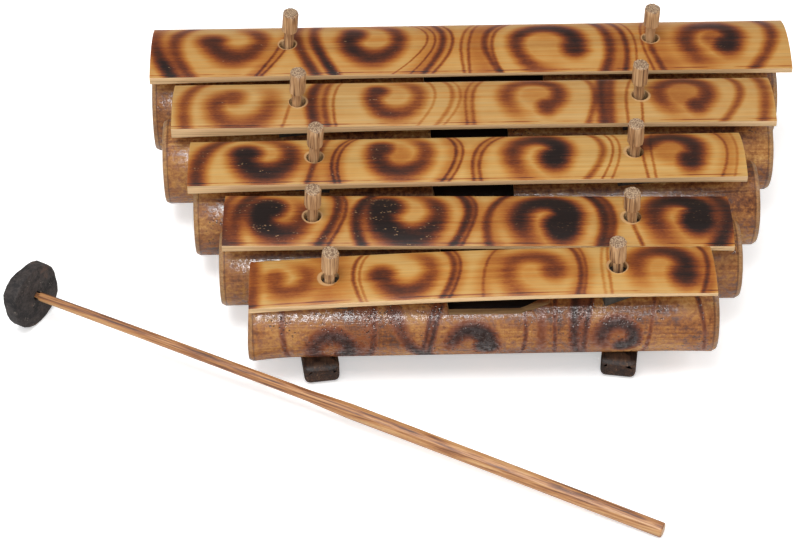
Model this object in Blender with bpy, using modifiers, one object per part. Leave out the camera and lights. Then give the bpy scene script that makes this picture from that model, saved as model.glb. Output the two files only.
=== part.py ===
"""A bamboo xylophone of five keys on tube resonators, with its mallet lying in front.

Metres, +Z up. X runs along the keys, Y points away from the player.
The rails stand on Z = 0, and the origin is the middle of the ground the object covers.
Keys and resonators are numbered from the back, longest first.
"""

import math

import bmesh
import bpy
from mathutils import Matrix, Vector

MM = 0.001

# Clearances
TOUCH = 0.3 * MM
KEY_GAP = 2.0 * MM
# How far a drill or a saw runs past what it cuts, and how many times wider a cutting block is
CUT_PAST = 1.2 * MM
CUT_SPAN = 2.0

# Rails: a rail's centre line is x = at_middle + slope * y
RAIL_HEIGHT = 10.5 * MM
RAIL_WIDTH = 17.0 * MM
RAIL_LOWER_ROUND = 2.6 * MM
RAIL_UPPER_ROUND = 0.8 * MM
RAIL_LOWER_STEPS = 4
RAIL_UPPER_STEPS = 2
RAIL_FRONT_REACH = 14.5 * MM
RAIL_BACK_REACH = 18.5 * MM
RAIL_AT_MIDDLE = {"left": -89.3 * MM, "right": 79.3 * MM}
RAIL_SLOPE = {"left": -0.128, "right": 0.172}

# Resonator tubes
TUBE_WALL = 2.4 * MM
TUBE_CHAMFER = 1.1 * MM
TUBE_CHAMFER_RUN = 2.0 * MM
TUBE_RECESS = 3.0 * MM
TUBE_DIAPHRAGM = 3.0 * MM
SWELL_RUN = 20.0 * MM
TAPER_RUN = 150.0 * MM
TUBE_STEPS = 32
BORE_STEPS = 24

# Bars, bar holes, pegs and pads. A peg is deeper (in Y) than it is wide, by its ratio
BAR_TOP_STEPS = 12
BAR_UNDER_STEPS = 8
BAR_STATIONS = 14
BAR_CROWN_SHARE = 0.35
BAR_HOLE_PLAY = 1.83 * MM
BAR_HOLE_STEPS = 16
PEG_RADIUS = 2.5 * MM
PEG_SHOULDER = 1.5 * MM
PEG_DEPTH_RATIO = 1.16
PEG_FOOT_DEPTH = 7.0 * MM
PEG_CHAMFER = 0.7 * MM
PEG_STEPS = 10
PAD_LENGTH = 18.0 * MM
PAD_WIDTH = 14.5 * MM
PAD_CROWN_RADIUS = 30.0 * MM
PAD_STEPS = 48

# Mallet
MALLET_HEAD_RADIUS = 17.0 * MM
MALLET_HEAD_THICKNESS = 8.0 * MM
MALLET_HEAD_ROUND = 0.6 * MM
MALLET_HEAD_YAW = math.radians(-31.0)
# The mallet lies this far from the front tube's left corner, its head this far before it
MALLET_ASIDE = 1.4 * MM
MALLET_HEAD_AHEAD = 117.1 * MM
MALLET_HEAD_STEPS = 24
HANDLE_LENGTH = 337.0 * MM
HANDLE_BEHIND_FACE = 9.2 * MM
HANDLE_YAW = math.radians(-27.3)
HANDLE_TIP_RADIUS = 2.3 * MM
HANDLE_MIDDLE_RADIUS = 2.75 * MM
HANDLE_GRIP_RADIUS = 3.65 * MM
HANDLE_TAIL_RADIUS = 3.55 * MM
HANDLE_GRIP_START = 149.0 * MM
HANDLE_GRIP_RUN = 22.0 * MM
HANDLE_CHAMFER = 0.5 * MM
HANDLE_STEPS = 8

# The tables below are in millimetres, and in degrees where a name ends in _deg
TUBES = (
    dict(radius=22.75, taper=-0.40, yaw_deg=0.57, length=325.4, middle=-2.70, swell=0.25),
    dict(radius=21.75, taper=0.25, yaw_deg=0.62, length=309.3, middle=-3.05, swell=0.2),
    dict(radius=20.5, taper=0.57, yaw_deg=0.23, length=279.3, middle=-0.65, swell=0.2),
    dict(radius=18.6, taper=0.55, yaw_deg=-0.21, length=251.8, middle=-0.50, swell=0.2),
    dict(radius=17.8, taper=-0.56, yaw_deg=-0.23, length=221.6, middle=-1.20, swell=0.6),
)

# Mouths in the tops of the tubes: depth below the top line, and x at the lip and at the floor
MOUTHS = (
    dict(depth=6.5, left_lip=-25.0, left_floor=-23.5, right_floor=36.5, right_lip=38.0, right_rise=0.5),
    dict(depth=6.2, left_lip=-22.4, left_floor=-21.5, right_floor=16.0, right_lip=17.1, right_rise=0.5),
    dict(depth=5.8, left_lip=-23.3, left_floor=-20.9, right_floor=13.1, right_lip=17.6, right_rise=0.5),
    dict(depth=5.3, left_lip=-21.0, left_floor=-19.5, right_floor=16.5, right_lip=18.0, right_rise=0.5),
    dict(depth=5.05, left_lip=-18.8, left_floor=-17.5, right_floor=16.0, right_lip=30.0, right_rise=2.75),
)

# Bars: crown is the thickness in the middle of the section, and the edges are the thickness of
# the long edges at the left end, in the middle and at the right end, where the underside is pared
BARS = (
    dict(length=330.0, middle=0.00, width=42.4, radius=48.0, crown=6.5, edge_left=4.0, edge=2.0,
         edge_right=2.8, bow=0.0, shift=-0.16, yaw_deg=-0.23, roll_deg=0.37),
    dict(length=302.9, middle=-0.45, width=35.9, radius=42.0, crown=6.0, edge_left=5.6, edge=2.5,
         edge_right=3.4, bow=0.0, shift=0.25, yaw_deg=-0.45, roll_deg=0.67),
    dict(length=272.9, middle=-5.55, width=34.4, radius=42.0, crown=5.6, edge_left=4.8, edge=2.5,
         edge_right=3.4, bow=0.0, shift=0.82, yaw_deg=-0.10, roll_deg=0.50),
    dict(length=243.5, middle=-2.05, width=36.0, radius=42.0, crown=4.6, edge_left=3.6, edge=1.9,
         edge_right=2.8, bow=0.0, shift=-0.36, yaw_deg=-1.03, roll_deg=1.79),
    dict(length=217.9, middle=-1.85, width=32.1, radius=40.0, crown=3.4, edge_left=2.8, edge=2.5,
         edge_right=1.9, bow=1.0, shift=-0.26, yaw_deg=-0.21, roll_deg=1.93),
)

# Pegs: the bar hole they pass (along the bar from where the rail's line crosses it, and across
# the bar), how far the peg stands off the hole's middle, how far its foot stands off the rail's
# middle, its top and shoulder above the bar's crown, and the thickness and turn of its pad
PEGS = {
    "left": (
        dict(from_rail=6.08, hole_y=-0.3, off_x=0.6, off_y=0.1, foot=0.2, top=19.9, shoulder=9.0,
             pad=7.3, turn_deg=8.0),
        dict(from_rail=5.90, hole_y=-2.0, off_x=-0.4, off_y=-0.5, foot=0.0, top=18.9, shoulder=7.0,
             pad=8.0, turn_deg=5.0),
        dict(from_rail=9.30, hole_y=-0.7, off_x=-0.5, off_y=-0.4, foot=3.4, top=19.1, shoulder=8.5,
             pad=8.4, turn_deg=-6.0),
        dict(from_rail=3.12, hole_y=-1.0, off_x=0.1, off_y=0.5, foot=1.2, top=16.3, shoulder=6.5,
             pad=8.9, turn_deg=7.0),
        dict(from_rail=6.70, hole_y=-1.4, off_x=-0.2, off_y=-0.6, foot=3.6, top=16.2, shoulder=5.5,
             pad=5.7, turn_deg=-5.0),
    ),
    "right": (
        dict(from_rail=-0.75, hole_y=0.4, off_x=-0.2, off_y=0.6, foot=-2.0, top=18.4, shoulder=8.3,
             pad=8.7, turn_deg=-6.0),
        dict(from_rail=-2.89, hole_y=-0.2, off_x=-0.6, off_y=0.3, foot=-3.2, top=18.9, shoulder=8.0,
             pad=8.1, turn_deg=9.0),
        dict(from_rail=-2.10, hole_y=-0.95, off_x=-0.1, off_y=0.0, foot=-1.0, top=17.6, shoulder=6.3,
             pad=7.7, turn_deg=5.0),
        dict(from_rail=-0.48, hole_y=-1.25, off_x=-0.3, off_y=-0.6, foot=2.6, top=15.7, shoulder=6.2,
             pad=6.5, turn_deg=-8.0),
        dict(from_rail=-4.30, hole_y=-1.0, off_x=0.1, off_y=0.7, foot=-0.9, top=14.9, shoulder=4.6,
             pad=10.4, turn_deg=17.0),
    ),
}

SIDES = ("left", "right")


def in_metres(rows):
    """The rows of a table with lengths in metres and angles in radians."""
    def value(name, number):
        if name.endswith("_deg"):
            return math.radians(number)
        return number * MM
    return [{name: value(name, number) for name, number in row.items()} for row in rows]


def with_ends(rows):
    """The rows with the x of each piece's left and right end, from its length and middle."""
    for row in rows:
        row["left"] = row["middle"] - row["length"] / 2.0
        row["right"] = row["middle"] + row["length"] / 2.0
    return rows


def material(name, colour, roughness, metallic=0.0):
    mat = bpy.data.materials.new(name)
    mat.use_nodes = True
    mat.diffuse_color = (*colour, 1.0)
    shader = mat.node_tree.nodes["Principled BSDF"]
    shader.inputs["Base Color"].default_value = (*colour, 1.0)
    shader.inputs["Roughness"].default_value = roughness
    shader.inputs["Metallic"].default_value = metallic
    return mat


def burnt_bamboo():
    return material("burnt_bamboo", (0.62, 0.36, 0.12), 0.5)


def varnished_bamboo():
    return material("varnished_bamboo", (0.36, 0.15, 0.045), 0.28)


def peg_bamboo():
    return material("peg_bamboo", (0.42, 0.24, 0.10), 0.6)


def pad_rubber():
    return material("pad_rubber", (0.05, 0.048, 0.045), 0.8)


def stained_wood():
    return material("stained_wood", (0.10, 0.045, 0.02), 0.6)


def handle_bamboo():
    return material("handle_bamboo", (0.40, 0.20, 0.07), 0.45)


def head_rubber():
    return material("head_rubber", (0.035, 0.033, 0.032), 0.75)


class Workshop:
    """Holds the collections and the empty that every piece is placed under."""

    def __init__(self):
        for old in list(bpy.data.objects):
            bpy.data.objects.remove(old)
        self.parts = bpy.data.collections.new("bamboo_chime")
        self.cutters = bpy.data.collections.new("cutters")
        bpy.context.scene.collection.children.link(self.parts)
        bpy.context.scene.collection.children.link(self.cutters)
        self.ground = bpy.data.objects.new("ground_middle", None)
        self.parts.objects.link(self.ground)

    def place(self, piece, placement, as_cutter=False, parent=None):
        piece.parent = parent or self.ground
        piece.matrix_basis = placement
        if as_cutter:
            self.cutters.objects.link(piece)
            piece.hide_render = True
            piece.display_type = "WIRE"
        else:
            self.parts.objects.link(piece)
        return piece


def turned(name, profile, steps, depth_ratio=1.0):
    """A body turned about its Z axis from (radius, z) points running from top to bottom."""
    mesh = bpy.data.meshes.new(name)
    points = [(radius, 0.0, z) for radius, z in profile]
    edges = [(i, i + 1) for i in range(len(points) - 1)]
    mesh.from_pydata(points, edges, [])
    piece = bpy.data.objects.new(name, mesh)
    screw = piece.modifiers.new("turn", "SCREW")
    screw.axis = "Z"
    screw.steps = steps
    screw.render_steps = steps
    screw.use_merge_vertices = True
    screw.merge_threshold = 0.00001
    screw.use_smooth_shade = True
    if depth_ratio == 1.0:
        return piece
    bpy.context.scene.collection.objects.link(piece)
    turned_mesh = mesh_of(piece)
    bpy.data.objects.remove(piece)
    turned_mesh.name = name
    turned_mesh.transform(Matrix.Diagonal((1.0, depth_ratio, 1.0, 1.0)))
    return bpy.data.objects.new(name, turned_mesh)


def mesh_of(piece):
    """A new mesh from a piece as its modifiers or curve make it."""
    bpy.context.view_layer.update()
    evaluated = piece.evaluated_get(bpy.context.evaluated_depsgraph_get())
    return bpy.data.meshes.new_from_object(evaluated)


def prism(name, outline, half_length, lie):
    """A flat outline drawn out to both sides, then turned by the matrix lie."""
    curve = bpy.data.curves.new(name, "CURVE")
    curve.dimensions = "2D"
    curve.fill_mode = "BOTH"
    curve.extrude = half_length
    spline = curve.splines.new("POLY")
    spline.points.add(len(outline) - 1)
    for point, (u, v) in zip(spline.points, outline):
        point.co = (u, v, 0.0, 1.0)
    spline.use_cyclic_u = True
    drawn = bpy.data.objects.new(name, curve)
    bpy.context.scene.collection.objects.link(drawn)
    mesh = mesh_of(drawn)
    bpy.data.objects.remove(drawn)
    welded = bmesh.new()
    welded.from_mesh(mesh)
    bmesh.ops.remove_doubles(welded, verts=welded.verts, dist=0.000001)
    bmesh.ops.transform(welded, matrix=lie, verts=welded.verts)
    bmesh.ops.recalc_face_normals(welded, faces=welded.faces)
    welded.to_mesh(mesh)
    welded.free()
    mesh.name = name
    return bpy.data.objects.new(name, mesh)


def shape_with(piece, tool, operation="DIFFERENCE"):
    boolean = piece.modifiers.new(operation.lower(), "BOOLEAN")
    boolean.operation = operation
    boolean.object = tool


# Turns a drawn section so that it runs along X, with its u along Y and its v along Z
ALONG_X = Matrix(((0, 0, 1, 0), (1, 0, 0, 0), (0, 1, 0, 0), (0, 0, 0, 1)))
# The same for a section that runs along Y, with its u along X
ALONG_Y = Matrix(((1, 0, 0, 0), (0, 0, -1, 0), (0, 1, 0, 0), (0, 0, 0, 1)))
# Lays a turned body down, from standing on Z to lying along X
LAID_DOWN = Matrix.Rotation(math.pi / 2, 4, "Y")


def arc(radius, middle_v, half_width, count):
    """Points of an arc from +half_width to -half_width, its highest point at u = 0."""
    reach = math.asin(half_width / radius)
    points = []
    for i in range(count + 1):
        angle = reach - 2.0 * reach * i / count
        points.append((radius * math.sin(angle), middle_v + radius * math.cos(angle)))
    return points


class Layout:
    """Where every tube, bar and peg stands, worked out from the tables."""

    def __init__(self):
        self.tubes = with_ends(in_metres(TUBES))
        self.mouths = in_metres(MOUTHS)
        self.bars = with_ends(in_metres(BARS))
        self.pegs = {side: in_metres(PEGS[side]) for side in SIDES}
        self.tube_y = self.rows_from_back_to_front()
        for side in SIDES:
            for peg, y in zip(self.pegs[side], self.tube_y):
                peg["hole_x"] = self.rail_x(side, y) + peg["from_rail"]

    def swelling(self, key, x):
        """How much a tube stands out over its taper, from its end to where the swelling stops."""
        tube = self.tubes[key]
        to_end = min(x - tube["left"], tube["right"] - x)
        share = 1.0 - to_end / SWELL_RUN
        return tube["swell"] * min(1.0, max(0.0, share))

    def radius(self, key, x, with_swell=False):
        tube = self.tubes[key]
        radius = tube["radius"] + tube["taper"] * x / TAPER_RUN
        return radius + self.swelling(key, x) if with_swell else radius

    def rows_from_back_to_front(self):
        """Tube axes at x = 0. Neighbours touch nowhere, and neither do their bars."""
        rows = [0.0]
        for back in range(len(self.tubes) - 1):
            front = back + 1
            rows.append(rows[back] - max(self.tube_pitch(back, front), self.bar_pitch(back, front)))
        middle = rows[len(rows) // 2]
        return [row - middle for row in rows]

    def edge_at(self, key, x):
        """Thickness of a bar's long edges at x: a parabola through its ends and its middle."""
        bar = self.bars[key]
        left, middle, right = bar["left"], bar["middle"], bar["right"]
        from_left = (x - middle) * (x - right) / ((left - middle) * (left - right))
        from_middle = (x - left) * (x - right) / ((middle - left) * (middle - right))
        from_right = (x - left) * (x - middle) / ((right - left) * (right - middle))
        return (bar["edge_left"] * from_left + bar["edge"] * from_middle
                + bar["edge_right"] * from_right)

    def edge_at_seats(self, key):
        """Mean thickness of the long edges beside the two holes."""
        return sum(self.edge_at(key, self.pegs[side][key]["hole_x"]) for side in SIDES) / len(SIDES)

    def bow_at(self, key, x):
        """How far a bowed bar stands above the chord through its two holes."""
        left, right = (self.pegs[side][key]["hole_x"] for side in SIDES)
        half = (right - left) / 2.0
        return self.bars[key]["bow"] * (x - left) * (right - x) / half ** 2

    def underside_at(self, key, x):
        """Height of the crown of a bar's underside at x, in the bar's frame."""
        return self.bow_at(key, x) - BAR_CROWN_SHARE * (self.edge_at(key, x) - self.edge_at_seats(key))

    def tube_pitch(self, back, front):
        a, b = self.tubes[back], self.tubes[front]
        drift = math.tan(a["yaw_deg"]) - math.tan(b["yaw_deg"])
        needs = []
        for x in (max(a["left"], b["left"]), 0.0, min(a["right"], b["right"])):
            reach = 2.0 * math.sqrt(self.radius(back, x, True) * self.radius(front, x, True))
            needs.append(reach + TOUCH - x * drift)
        return max(needs)

    def bar_pitch(self, back, front):
        a, b = self.bars[back], self.bars[front]
        drift = math.tan(a["yaw_deg"]) - math.tan(b["yaw_deg"])
        half_widths = (a["width"] + b["width"]) / 2.0
        needs = []
        for x in (max(a["left"], b["left"]), min(a["right"], b["right"])):
            needs.append(half_widths + KEY_GAP + b["shift"] - a["shift"] - x * drift)
        return max(needs)

    def tube_underside(self, key):
        """Height of a tube's straight underside, which rides up if a rail meets its swollen end."""
        lifts = []
        for side in SIDES:
            middle = self.rail_x(side, self.tube_y[key])
            reach = RAIL_WIDTH / 2.0 / math.cos(math.atan(RAIL_SLOPE[side]))
            lifts += [self.swelling(key, middle - reach), self.swelling(key, middle + reach)]
        return RAIL_HEIGHT + TOUCH + max(lifts)

    def tube_top(self, key, x):
        return self.tube_underside(key) + 2.0 * self.radius(key, x)

    def tube_frame(self, key):
        """The tube's frame: X along its axis, which rises so that its underside is level."""
        tube = self.tubes[key]
        rise = math.atan(tube["taper"] / TAPER_RUN)
        height = self.tube_underside(key) + tube["radius"]
        return (Matrix.Translation((0.0, self.tube_y[key], height))
                @ Matrix.Rotation(tube["yaw_deg"], 4, "Z") @ Matrix.Rotation(-rise, 4, "Y"))

    def bar_frame(self, key):
        """The bar's frame: at x = 0, with the crowns over both pads at their own heights."""
        bar = self.bars[key]
        seats = []
        for side in SIDES:
            peg = self.pegs[side][key]
            x = peg["hole_x"]
            over_pad = self.tube_top(key, x) + peg["pad"] + 2.0 * TOUCH
            seats.append((x, over_pad - self.underside_at(key, x)))
        (x_left, z_left), (x_right, z_right) = seats
        slope = (z_right - z_left) / (x_right - x_left)
        middle = Vector((0.0, self.tube_y[key] + bar["shift"], z_left - slope * x_left))
        return (Matrix.Translation(middle) @ Matrix.Rotation(bar["yaw_deg"], 4, "Z")
                @ Matrix.Rotation(-math.atan(slope), 4, "Y") @ Matrix.Rotation(bar["roll_deg"], 4, "X"))

    def rail_x(self, side, y):
        return RAIL_AT_MIDDLE[side] + RAIL_SLOPE[side] * y

    def peg_ends(self, key, side):
        """The peg's axis where it leaves the bar's crown, and at its foot in the rail."""
        peg = self.pegs[side][key]
        in_bar = Vector((peg["hole_x"], peg["hole_y"], self.bars[key]["crown"]))
        crown = self.bar_frame(key) @ in_bar + Vector((peg["off_x"], peg["off_y"], 0.0))
        foot_z = RAIL_HEIGHT - PEG_FOOT_DEPTH
        foot = Vector((self.rail_x(side, crown.y) + peg["foot"], crown.y, foot_z))
        return crown, foot

    def peg_frame(self, key, side):
        """The peg's frame: origin at its foot, Z up its own axis."""
        crown, foot = self.peg_ends(key, side)
        lean = math.atan2(crown.x - foot.x, crown.z - foot.z)
        return Matrix.Translation(foot) @ Matrix.Rotation(lean, 4, "Y")

    def peg_length(self, key, side, above_crown):
        crown, foot = self.peg_ends(key, side)
        return (crown - foot).length + above_crown


def tube_body(layout, key):
    """Outer skin of a resonator: tapered, a little swollen at its nodes, sanded at both ends."""
    tube = layout.tubes[key]

    def end(x, inward):
        """From the middle of the end's recess, over the rim, to where the swelling starts."""
        outer = layout.radius(key, x, True)
        bore = layout.radius(key, x) - TUBE_WALL
        recess = x + inward * TUBE_RECESS
        points = [(0.0, recess), (bore, recess), (bore, x), (outer - TUBE_CHAMFER, x)]
        for share in (TUBE_CHAMFER_RUN / SWELL_RUN, 0.5, 1.0):
            at = x + inward * share * SWELL_RUN
            points.append((layout.radius(key, at, True), at))
        return points

    profile = end(tube["right"], -1.0) + list(reversed(end(tube["left"], 1.0)))
    return turned(f"tube_{key + 1}", profile, TUBE_STEPS)


def bore_body(layout, key):
    """The tube's chamber, from one node wall to the other."""
    tube = layout.tubes[key]
    inset = TUBE_RECESS + TUBE_DIAPHRAGM
    right = tube["right"] - inset
    left = tube["left"] + inset
    profile = [
        (0.0, right),
        (layout.radius(key, right) - TUBE_WALL, right),
        (layout.radius(key, left) - TUBE_WALL, left),
        (0.0, left),
    ]
    return turned(f"chamber_{key + 1}", profile, BORE_STEPS)


def mouth_body(layout, key):
    """The mouth's cutter: its side view, drawn across the whole tube."""
    mouth = layout.mouths[key]
    tube = layout.tubes[key]
    top = tube["radius"]
    above = top + tube["swell"] + CUT_PAST
    floor = top - mouth["depth"]
    outline = [
        (mouth["left_lip"], above),
        (mouth["left_lip"], top),
        (mouth["left_floor"], floor),
        (mouth["right_floor"], floor),
        (mouth["right_lip"], floor + mouth["right_rise"]),
        (mouth["right_lip"], above),
    ]
    return prism(f"mouth_{key + 1}", outline, tube["radius"] + CUT_PAST, ALONG_Y)


def peg_hole_body(key, side, length):
    """A peg's bore: its shank with clearance all round and below the foot."""
    radius = PEG_RADIUS + TOUCH
    profile = [(0.0, length), (radius, length), (radius, -TOUCH), (0.0, -TOUCH)]
    return turned(f"peg_hole_{side}_{key + 1}", profile, PEG_STEPS, PEG_DEPTH_RATIO)


def peg_body(layout, key, side):
    """A whittled peg: broad head, shoulder, and a thin shank down to the rail."""
    peg = layout.pegs[side][key]
    top = layout.peg_length(key, side, peg["top"])
    shoulder = layout.peg_length(key, side, peg["shoulder"])
    head_radius = PEG_RADIUS + PEG_SHOULDER
    profile = [
        (0.0, top),
        (head_radius - PEG_CHAMFER, top),
        (head_radius, top - PEG_CHAMFER),
        (head_radius, shoulder),
        (PEG_RADIUS, shoulder - PEG_CHAMFER / 2.0),
        (PEG_RADIUS, PEG_CHAMFER),
        (PEG_RADIUS - PEG_CHAMFER, 0.0),
        (0.0, 0.0),
    ]
    return turned(f"peg_{side}_{key + 1}", profile, PEG_STEPS, PEG_DEPTH_RATIO)


def bar_body(layout, key):
    """A slat split from bamboo: arched on top, pared hollow beneath, upright long edges."""
    bar = layout.bars[key]
    edge = layout.edge_at_seats(key)
    half_width = bar["width"] / 2.0
    outer_middle = bar["crown"] - bar["radius"]
    shoulder = outer_middle + math.sqrt(bar["radius"] ** 2 - half_width ** 2)
    hollow = edge - shoulder
    under_radius = (half_width ** 2 + hollow ** 2) / (2.0 * hollow)
    top = arc(bar["radius"], outer_middle, half_width, BAR_TOP_STEPS)
    under = arc(under_radius, -under_radius, half_width, BAR_UNDER_STEPS)
    outline = top + list(reversed(under))
    piece = prism(f"bar_{key + 1}", outline, bar["length"] / 2.0, ALONG_X)
    piece.data.transform(Matrix.Translation((bar["middle"], 0.0, 0.0)))

    slat = bmesh.new()
    slat.from_mesh(piece.data)
    for station in range(1, BAR_STATIONS):
        x = bar["left"] + bar["length"] * station / BAR_STATIONS
        everything = list(slat.verts) + list(slat.edges) + list(slat.faces)
        bmesh.ops.bisect_plane(slat, geom=everything, plane_co=(x, 0.0, 0.0), plane_no=(1.0, 0.0, 0.0))
    for vertex in slat.verts:
        x, y, z = vertex.co
        # The long edges are upright, so a point is under the bar if it is lower than halfway up
        top_here = outer_middle + math.sqrt(bar["radius"] ** 2 - y ** 2)
        under_here = math.sqrt(under_radius ** 2 - y ** 2) - under_radius
        vertex.co.z += layout.bow_at(key, x)
        if z < (top_here + under_here) / 2.0:
            share = BAR_CROWN_SHARE + (1.0 - BAR_CROWN_SHARE) * (y / half_width) ** 2
            vertex.co.z -= share * (layout.edge_at(key, x) - edge)
    slat.to_mesh(piece.data)
    slat.free()
    return piece


def bar_hole_body(key, side, crown):
    """The drill that makes a bar's hole, square to the bar."""
    reach = crown + CUT_PAST
    radius = PEG_RADIUS + BAR_HOLE_PLAY
    profile = [(0.0, reach), (radius, reach), (radius, -reach), (0.0, -reach)]
    return turned(f"bar_hole_{side}_{key + 1}", profile, BAR_HOLE_STEPS)


def block_body(name, length, width, height):
    """A plain block about its own middle."""
    mesh = bpy.data.meshes.new(name)
    block = bmesh.new()
    bmesh.ops.create_cube(block, size=1.0)
    bmesh.ops.scale(block, vec=(length, width, height), verts=block.verts)
    block.to_mesh(mesh)
    block.free()
    return bpy.data.objects.new(name, mesh)


def lying_cylinder(name, radius_left, radius_right, half_length, steps):
    profile = [(0.0, half_length), (radius_right, half_length),
               (radius_left, -half_length), (0.0, -half_length)]
    return turned(name, profile, steps)


def rail_body(side, length):
    """A rail's section with its corners eased, drawn along its length."""
    half = RAIL_WIDTH / 2.0
    corners = (
        (half - RAIL_LOWER_ROUND, RAIL_LOWER_ROUND, RAIL_LOWER_ROUND, -90.0, RAIL_LOWER_STEPS),
        (half - RAIL_UPPER_ROUND, RAIL_HEIGHT - RAIL_UPPER_ROUND, RAIL_UPPER_ROUND, 0.0, RAIL_UPPER_STEPS),
        (RAIL_UPPER_ROUND - half, RAIL_HEIGHT - RAIL_UPPER_ROUND, RAIL_UPPER_ROUND, 90.0, RAIL_UPPER_STEPS),
        (RAIL_LOWER_ROUND - half, RAIL_LOWER_ROUND, RAIL_LOWER_ROUND, 180.0, RAIL_LOWER_STEPS),
    )
    outline = []
    for u, v, radius, start, count in corners:
        for i in range(count + 1):
            angle = math.radians(start + 90.0 * i / count)
            outline.append((u + radius * math.cos(angle), v + radius * math.sin(angle)))
    return prism(f"rail_{side}", outline, length / 2.0, ALONG_Y)


def make_rail(shop, layout, side, finish):
    """One rail, its ends square to its own line, drilled later by its pegs."""
    angle = math.atan(RAIL_SLOPE[side])
    front = layout.tube_y[-1] - RAIL_FRONT_REACH
    back = layout.tube_y[0] + RAIL_BACK_REACH
    middle_y = (front + back) / 2.0
    middle = Vector((layout.rail_x(side, middle_y), middle_y, 0.0))
    piece = rail_body(side, (back - front) / math.cos(angle))
    piece.data.materials.append(finish)
    return shop.place(piece, Matrix.Translation(middle) @ Matrix.Rotation(-angle, 4, "Z"))


def make_tube(shop, layout, key, finish):
    piece = tube_body(layout, key)
    piece.data.materials.append(finish)
    frame = layout.tube_frame(key)
    shop.place(piece, frame @ LAID_DOWN)
    shape_with(piece, shop.place(bore_body(layout, key), frame @ LAID_DOWN, as_cutter=True))
    shape_with(piece, shop.place(mouth_body(layout, key), frame, as_cutter=True))
    return piece


def make_bar(shop, layout, key, finish):
    piece = bar_body(layout, key)
    piece.data.materials.append(finish)
    frame = layout.bar_frame(key)
    shop.place(piece, frame)
    for side in SIDES:
        peg = layout.pegs[side][key]
        at = frame @ Matrix.Translation((peg["hole_x"], peg["hole_y"], 0.0))
        hole = bar_hole_body(key, side, layout.bars[key]["crown"])
        shape_with(piece, shop.place(hole, at, as_cutter=True))
    return piece


def make_peg(shop, layout, key, side, finish, rail, tube):
    """A peg with its bores in the tube and in the rail. Returns the bore for the pad."""
    frame = layout.peg_frame(key, side)
    piece = shop.place(peg_body(layout, key, side), frame)
    piece.data.materials.append(finish)
    bore = peg_hole_body(key, side, layout.peg_length(key, side, 0.0))
    shop.place(bore, frame, as_cutter=True)
    shape_with(tube, bore)
    shape_with(rail, bore)
    return bore


def make_pad(shop, layout, key, side, finish, bore):
    """A pad between a tube and its bar, threaded on the peg."""
    peg = layout.pegs[side][key]
    tube_frame = layout.tube_frame(key)
    bar_frame = layout.bar_frame(key)
    crown, foot = layout.peg_ends(key, side)
    tube_top = layout.tube_top(key, peg["hole_x"])
    seat = tube_top + peg["pad"] / 2.0
    middle = foot.lerp(crown, (seat - foot.z) / (crown.z - foot.z))
    height = CUT_SPAN * layout.tubes[key]["radius"]
    piece = block_body(f"pad_{side}_{key + 1}", PAD_LENGTH, PAD_WIDTH, height)
    piece.data.materials.append(finish)
    turn = Matrix.Rotation(peg["turn_deg"], 4, "Z")
    shop.place(piece, Matrix.Translation(middle) @ turn)

    half_length = CUT_SPAN * PAD_LENGTH
    pad_ends = (peg["hole_x"] - PAD_LENGTH / 2.0, peg["hole_x"] + PAD_LENGTH / 2.0)
    clear = TOUCH + max(layout.swelling(key, x) for x in pad_ends)
    tube_at = tube_frame @ Matrix.Translation((peg["hole_x"], 0.0, 0.0)) @ LAID_DOWN
    below = lying_cylinder(f"tube_seat_{side}_{key + 1}",
                           layout.radius(key, peg["hole_x"] - half_length) + clear,
                           layout.radius(key, peg["hole_x"] + half_length) + clear,
                           half_length, PAD_STEPS)
    shape_with(piece, shop.place(below, tube_at, as_cutter=True))

    heights = [layout.underside_at(key, x) for x in pad_ends]
    slope = math.atan((heights[1] - heights[0]) / PAD_LENGTH)
    crown_middle = layout.underside_at(key, peg["hole_x"]) - TOUCH - PAD_CROWN_RADIUS
    bar_seat = Matrix.Translation((peg["hole_x"], 0.0, crown_middle)) @ Matrix.Rotation(-slope, 4, "Y")
    above = lying_cylinder(f"bar_seat_{side}_{key + 1}", PAD_CROWN_RADIUS, PAD_CROWN_RADIUS,
                           half_length, PAD_STEPS)
    shop.place(above, bar_frame @ bar_seat @ LAID_DOWN, as_cutter=True)
    shape_with(piece, above, "INTERSECT")

    # What the block leaves below the tube's axis is cut off
    wide = CUT_SPAN * (PAD_LENGTH + PAD_WIDTH)
    deep = CUT_SPAN * height
    flank = block_body(f"flank_{side}_{key + 1}", wide, wide, deep)
    flank_at = tube_frame @ Matrix.Translation((peg["hole_x"], 0.0, -deep / 2.0))
    shape_with(piece, shop.place(flank, flank_at, as_cutter=True))
    shape_with(piece, bore)
    return piece


def mallet_frames(layout):
    """The head's and the handle's frames, each with X along its own axis towards the tail."""
    front = len(layout.tubes) - 1
    left = layout.tubes[front]["left"]
    corner = layout.tube_frame(front) @ Vector((left, -layout.radius(front, left, True), 0.0))
    along = Vector((math.cos(HANDLE_YAW), math.sin(HANDLE_YAW), 0.0))
    aside = Vector((math.sin(HANDLE_YAW), -math.cos(HANDLE_YAW), 0.0))
    face = corner + MALLET_ASIDE * aside - MALLET_HEAD_AHEAD * along
    face.z = MALLET_HEAD_RADIUS
    head_yaw = Matrix.Rotation(MALLET_HEAD_YAW, 4, "Z")
    head = Matrix.Translation(face) @ head_yaw
    drop = math.asin((MALLET_HEAD_RADIUS - HANDLE_TAIL_RADIUS) / (HANDLE_LENGTH - HANDLE_BEHIND_FACE))
    handle = (Matrix.Translation(face) @ Matrix.Rotation(HANDLE_YAW, 4, "Z")
              @ Matrix.Rotation(drop, 4, "Y"))
    return head, handle


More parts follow.
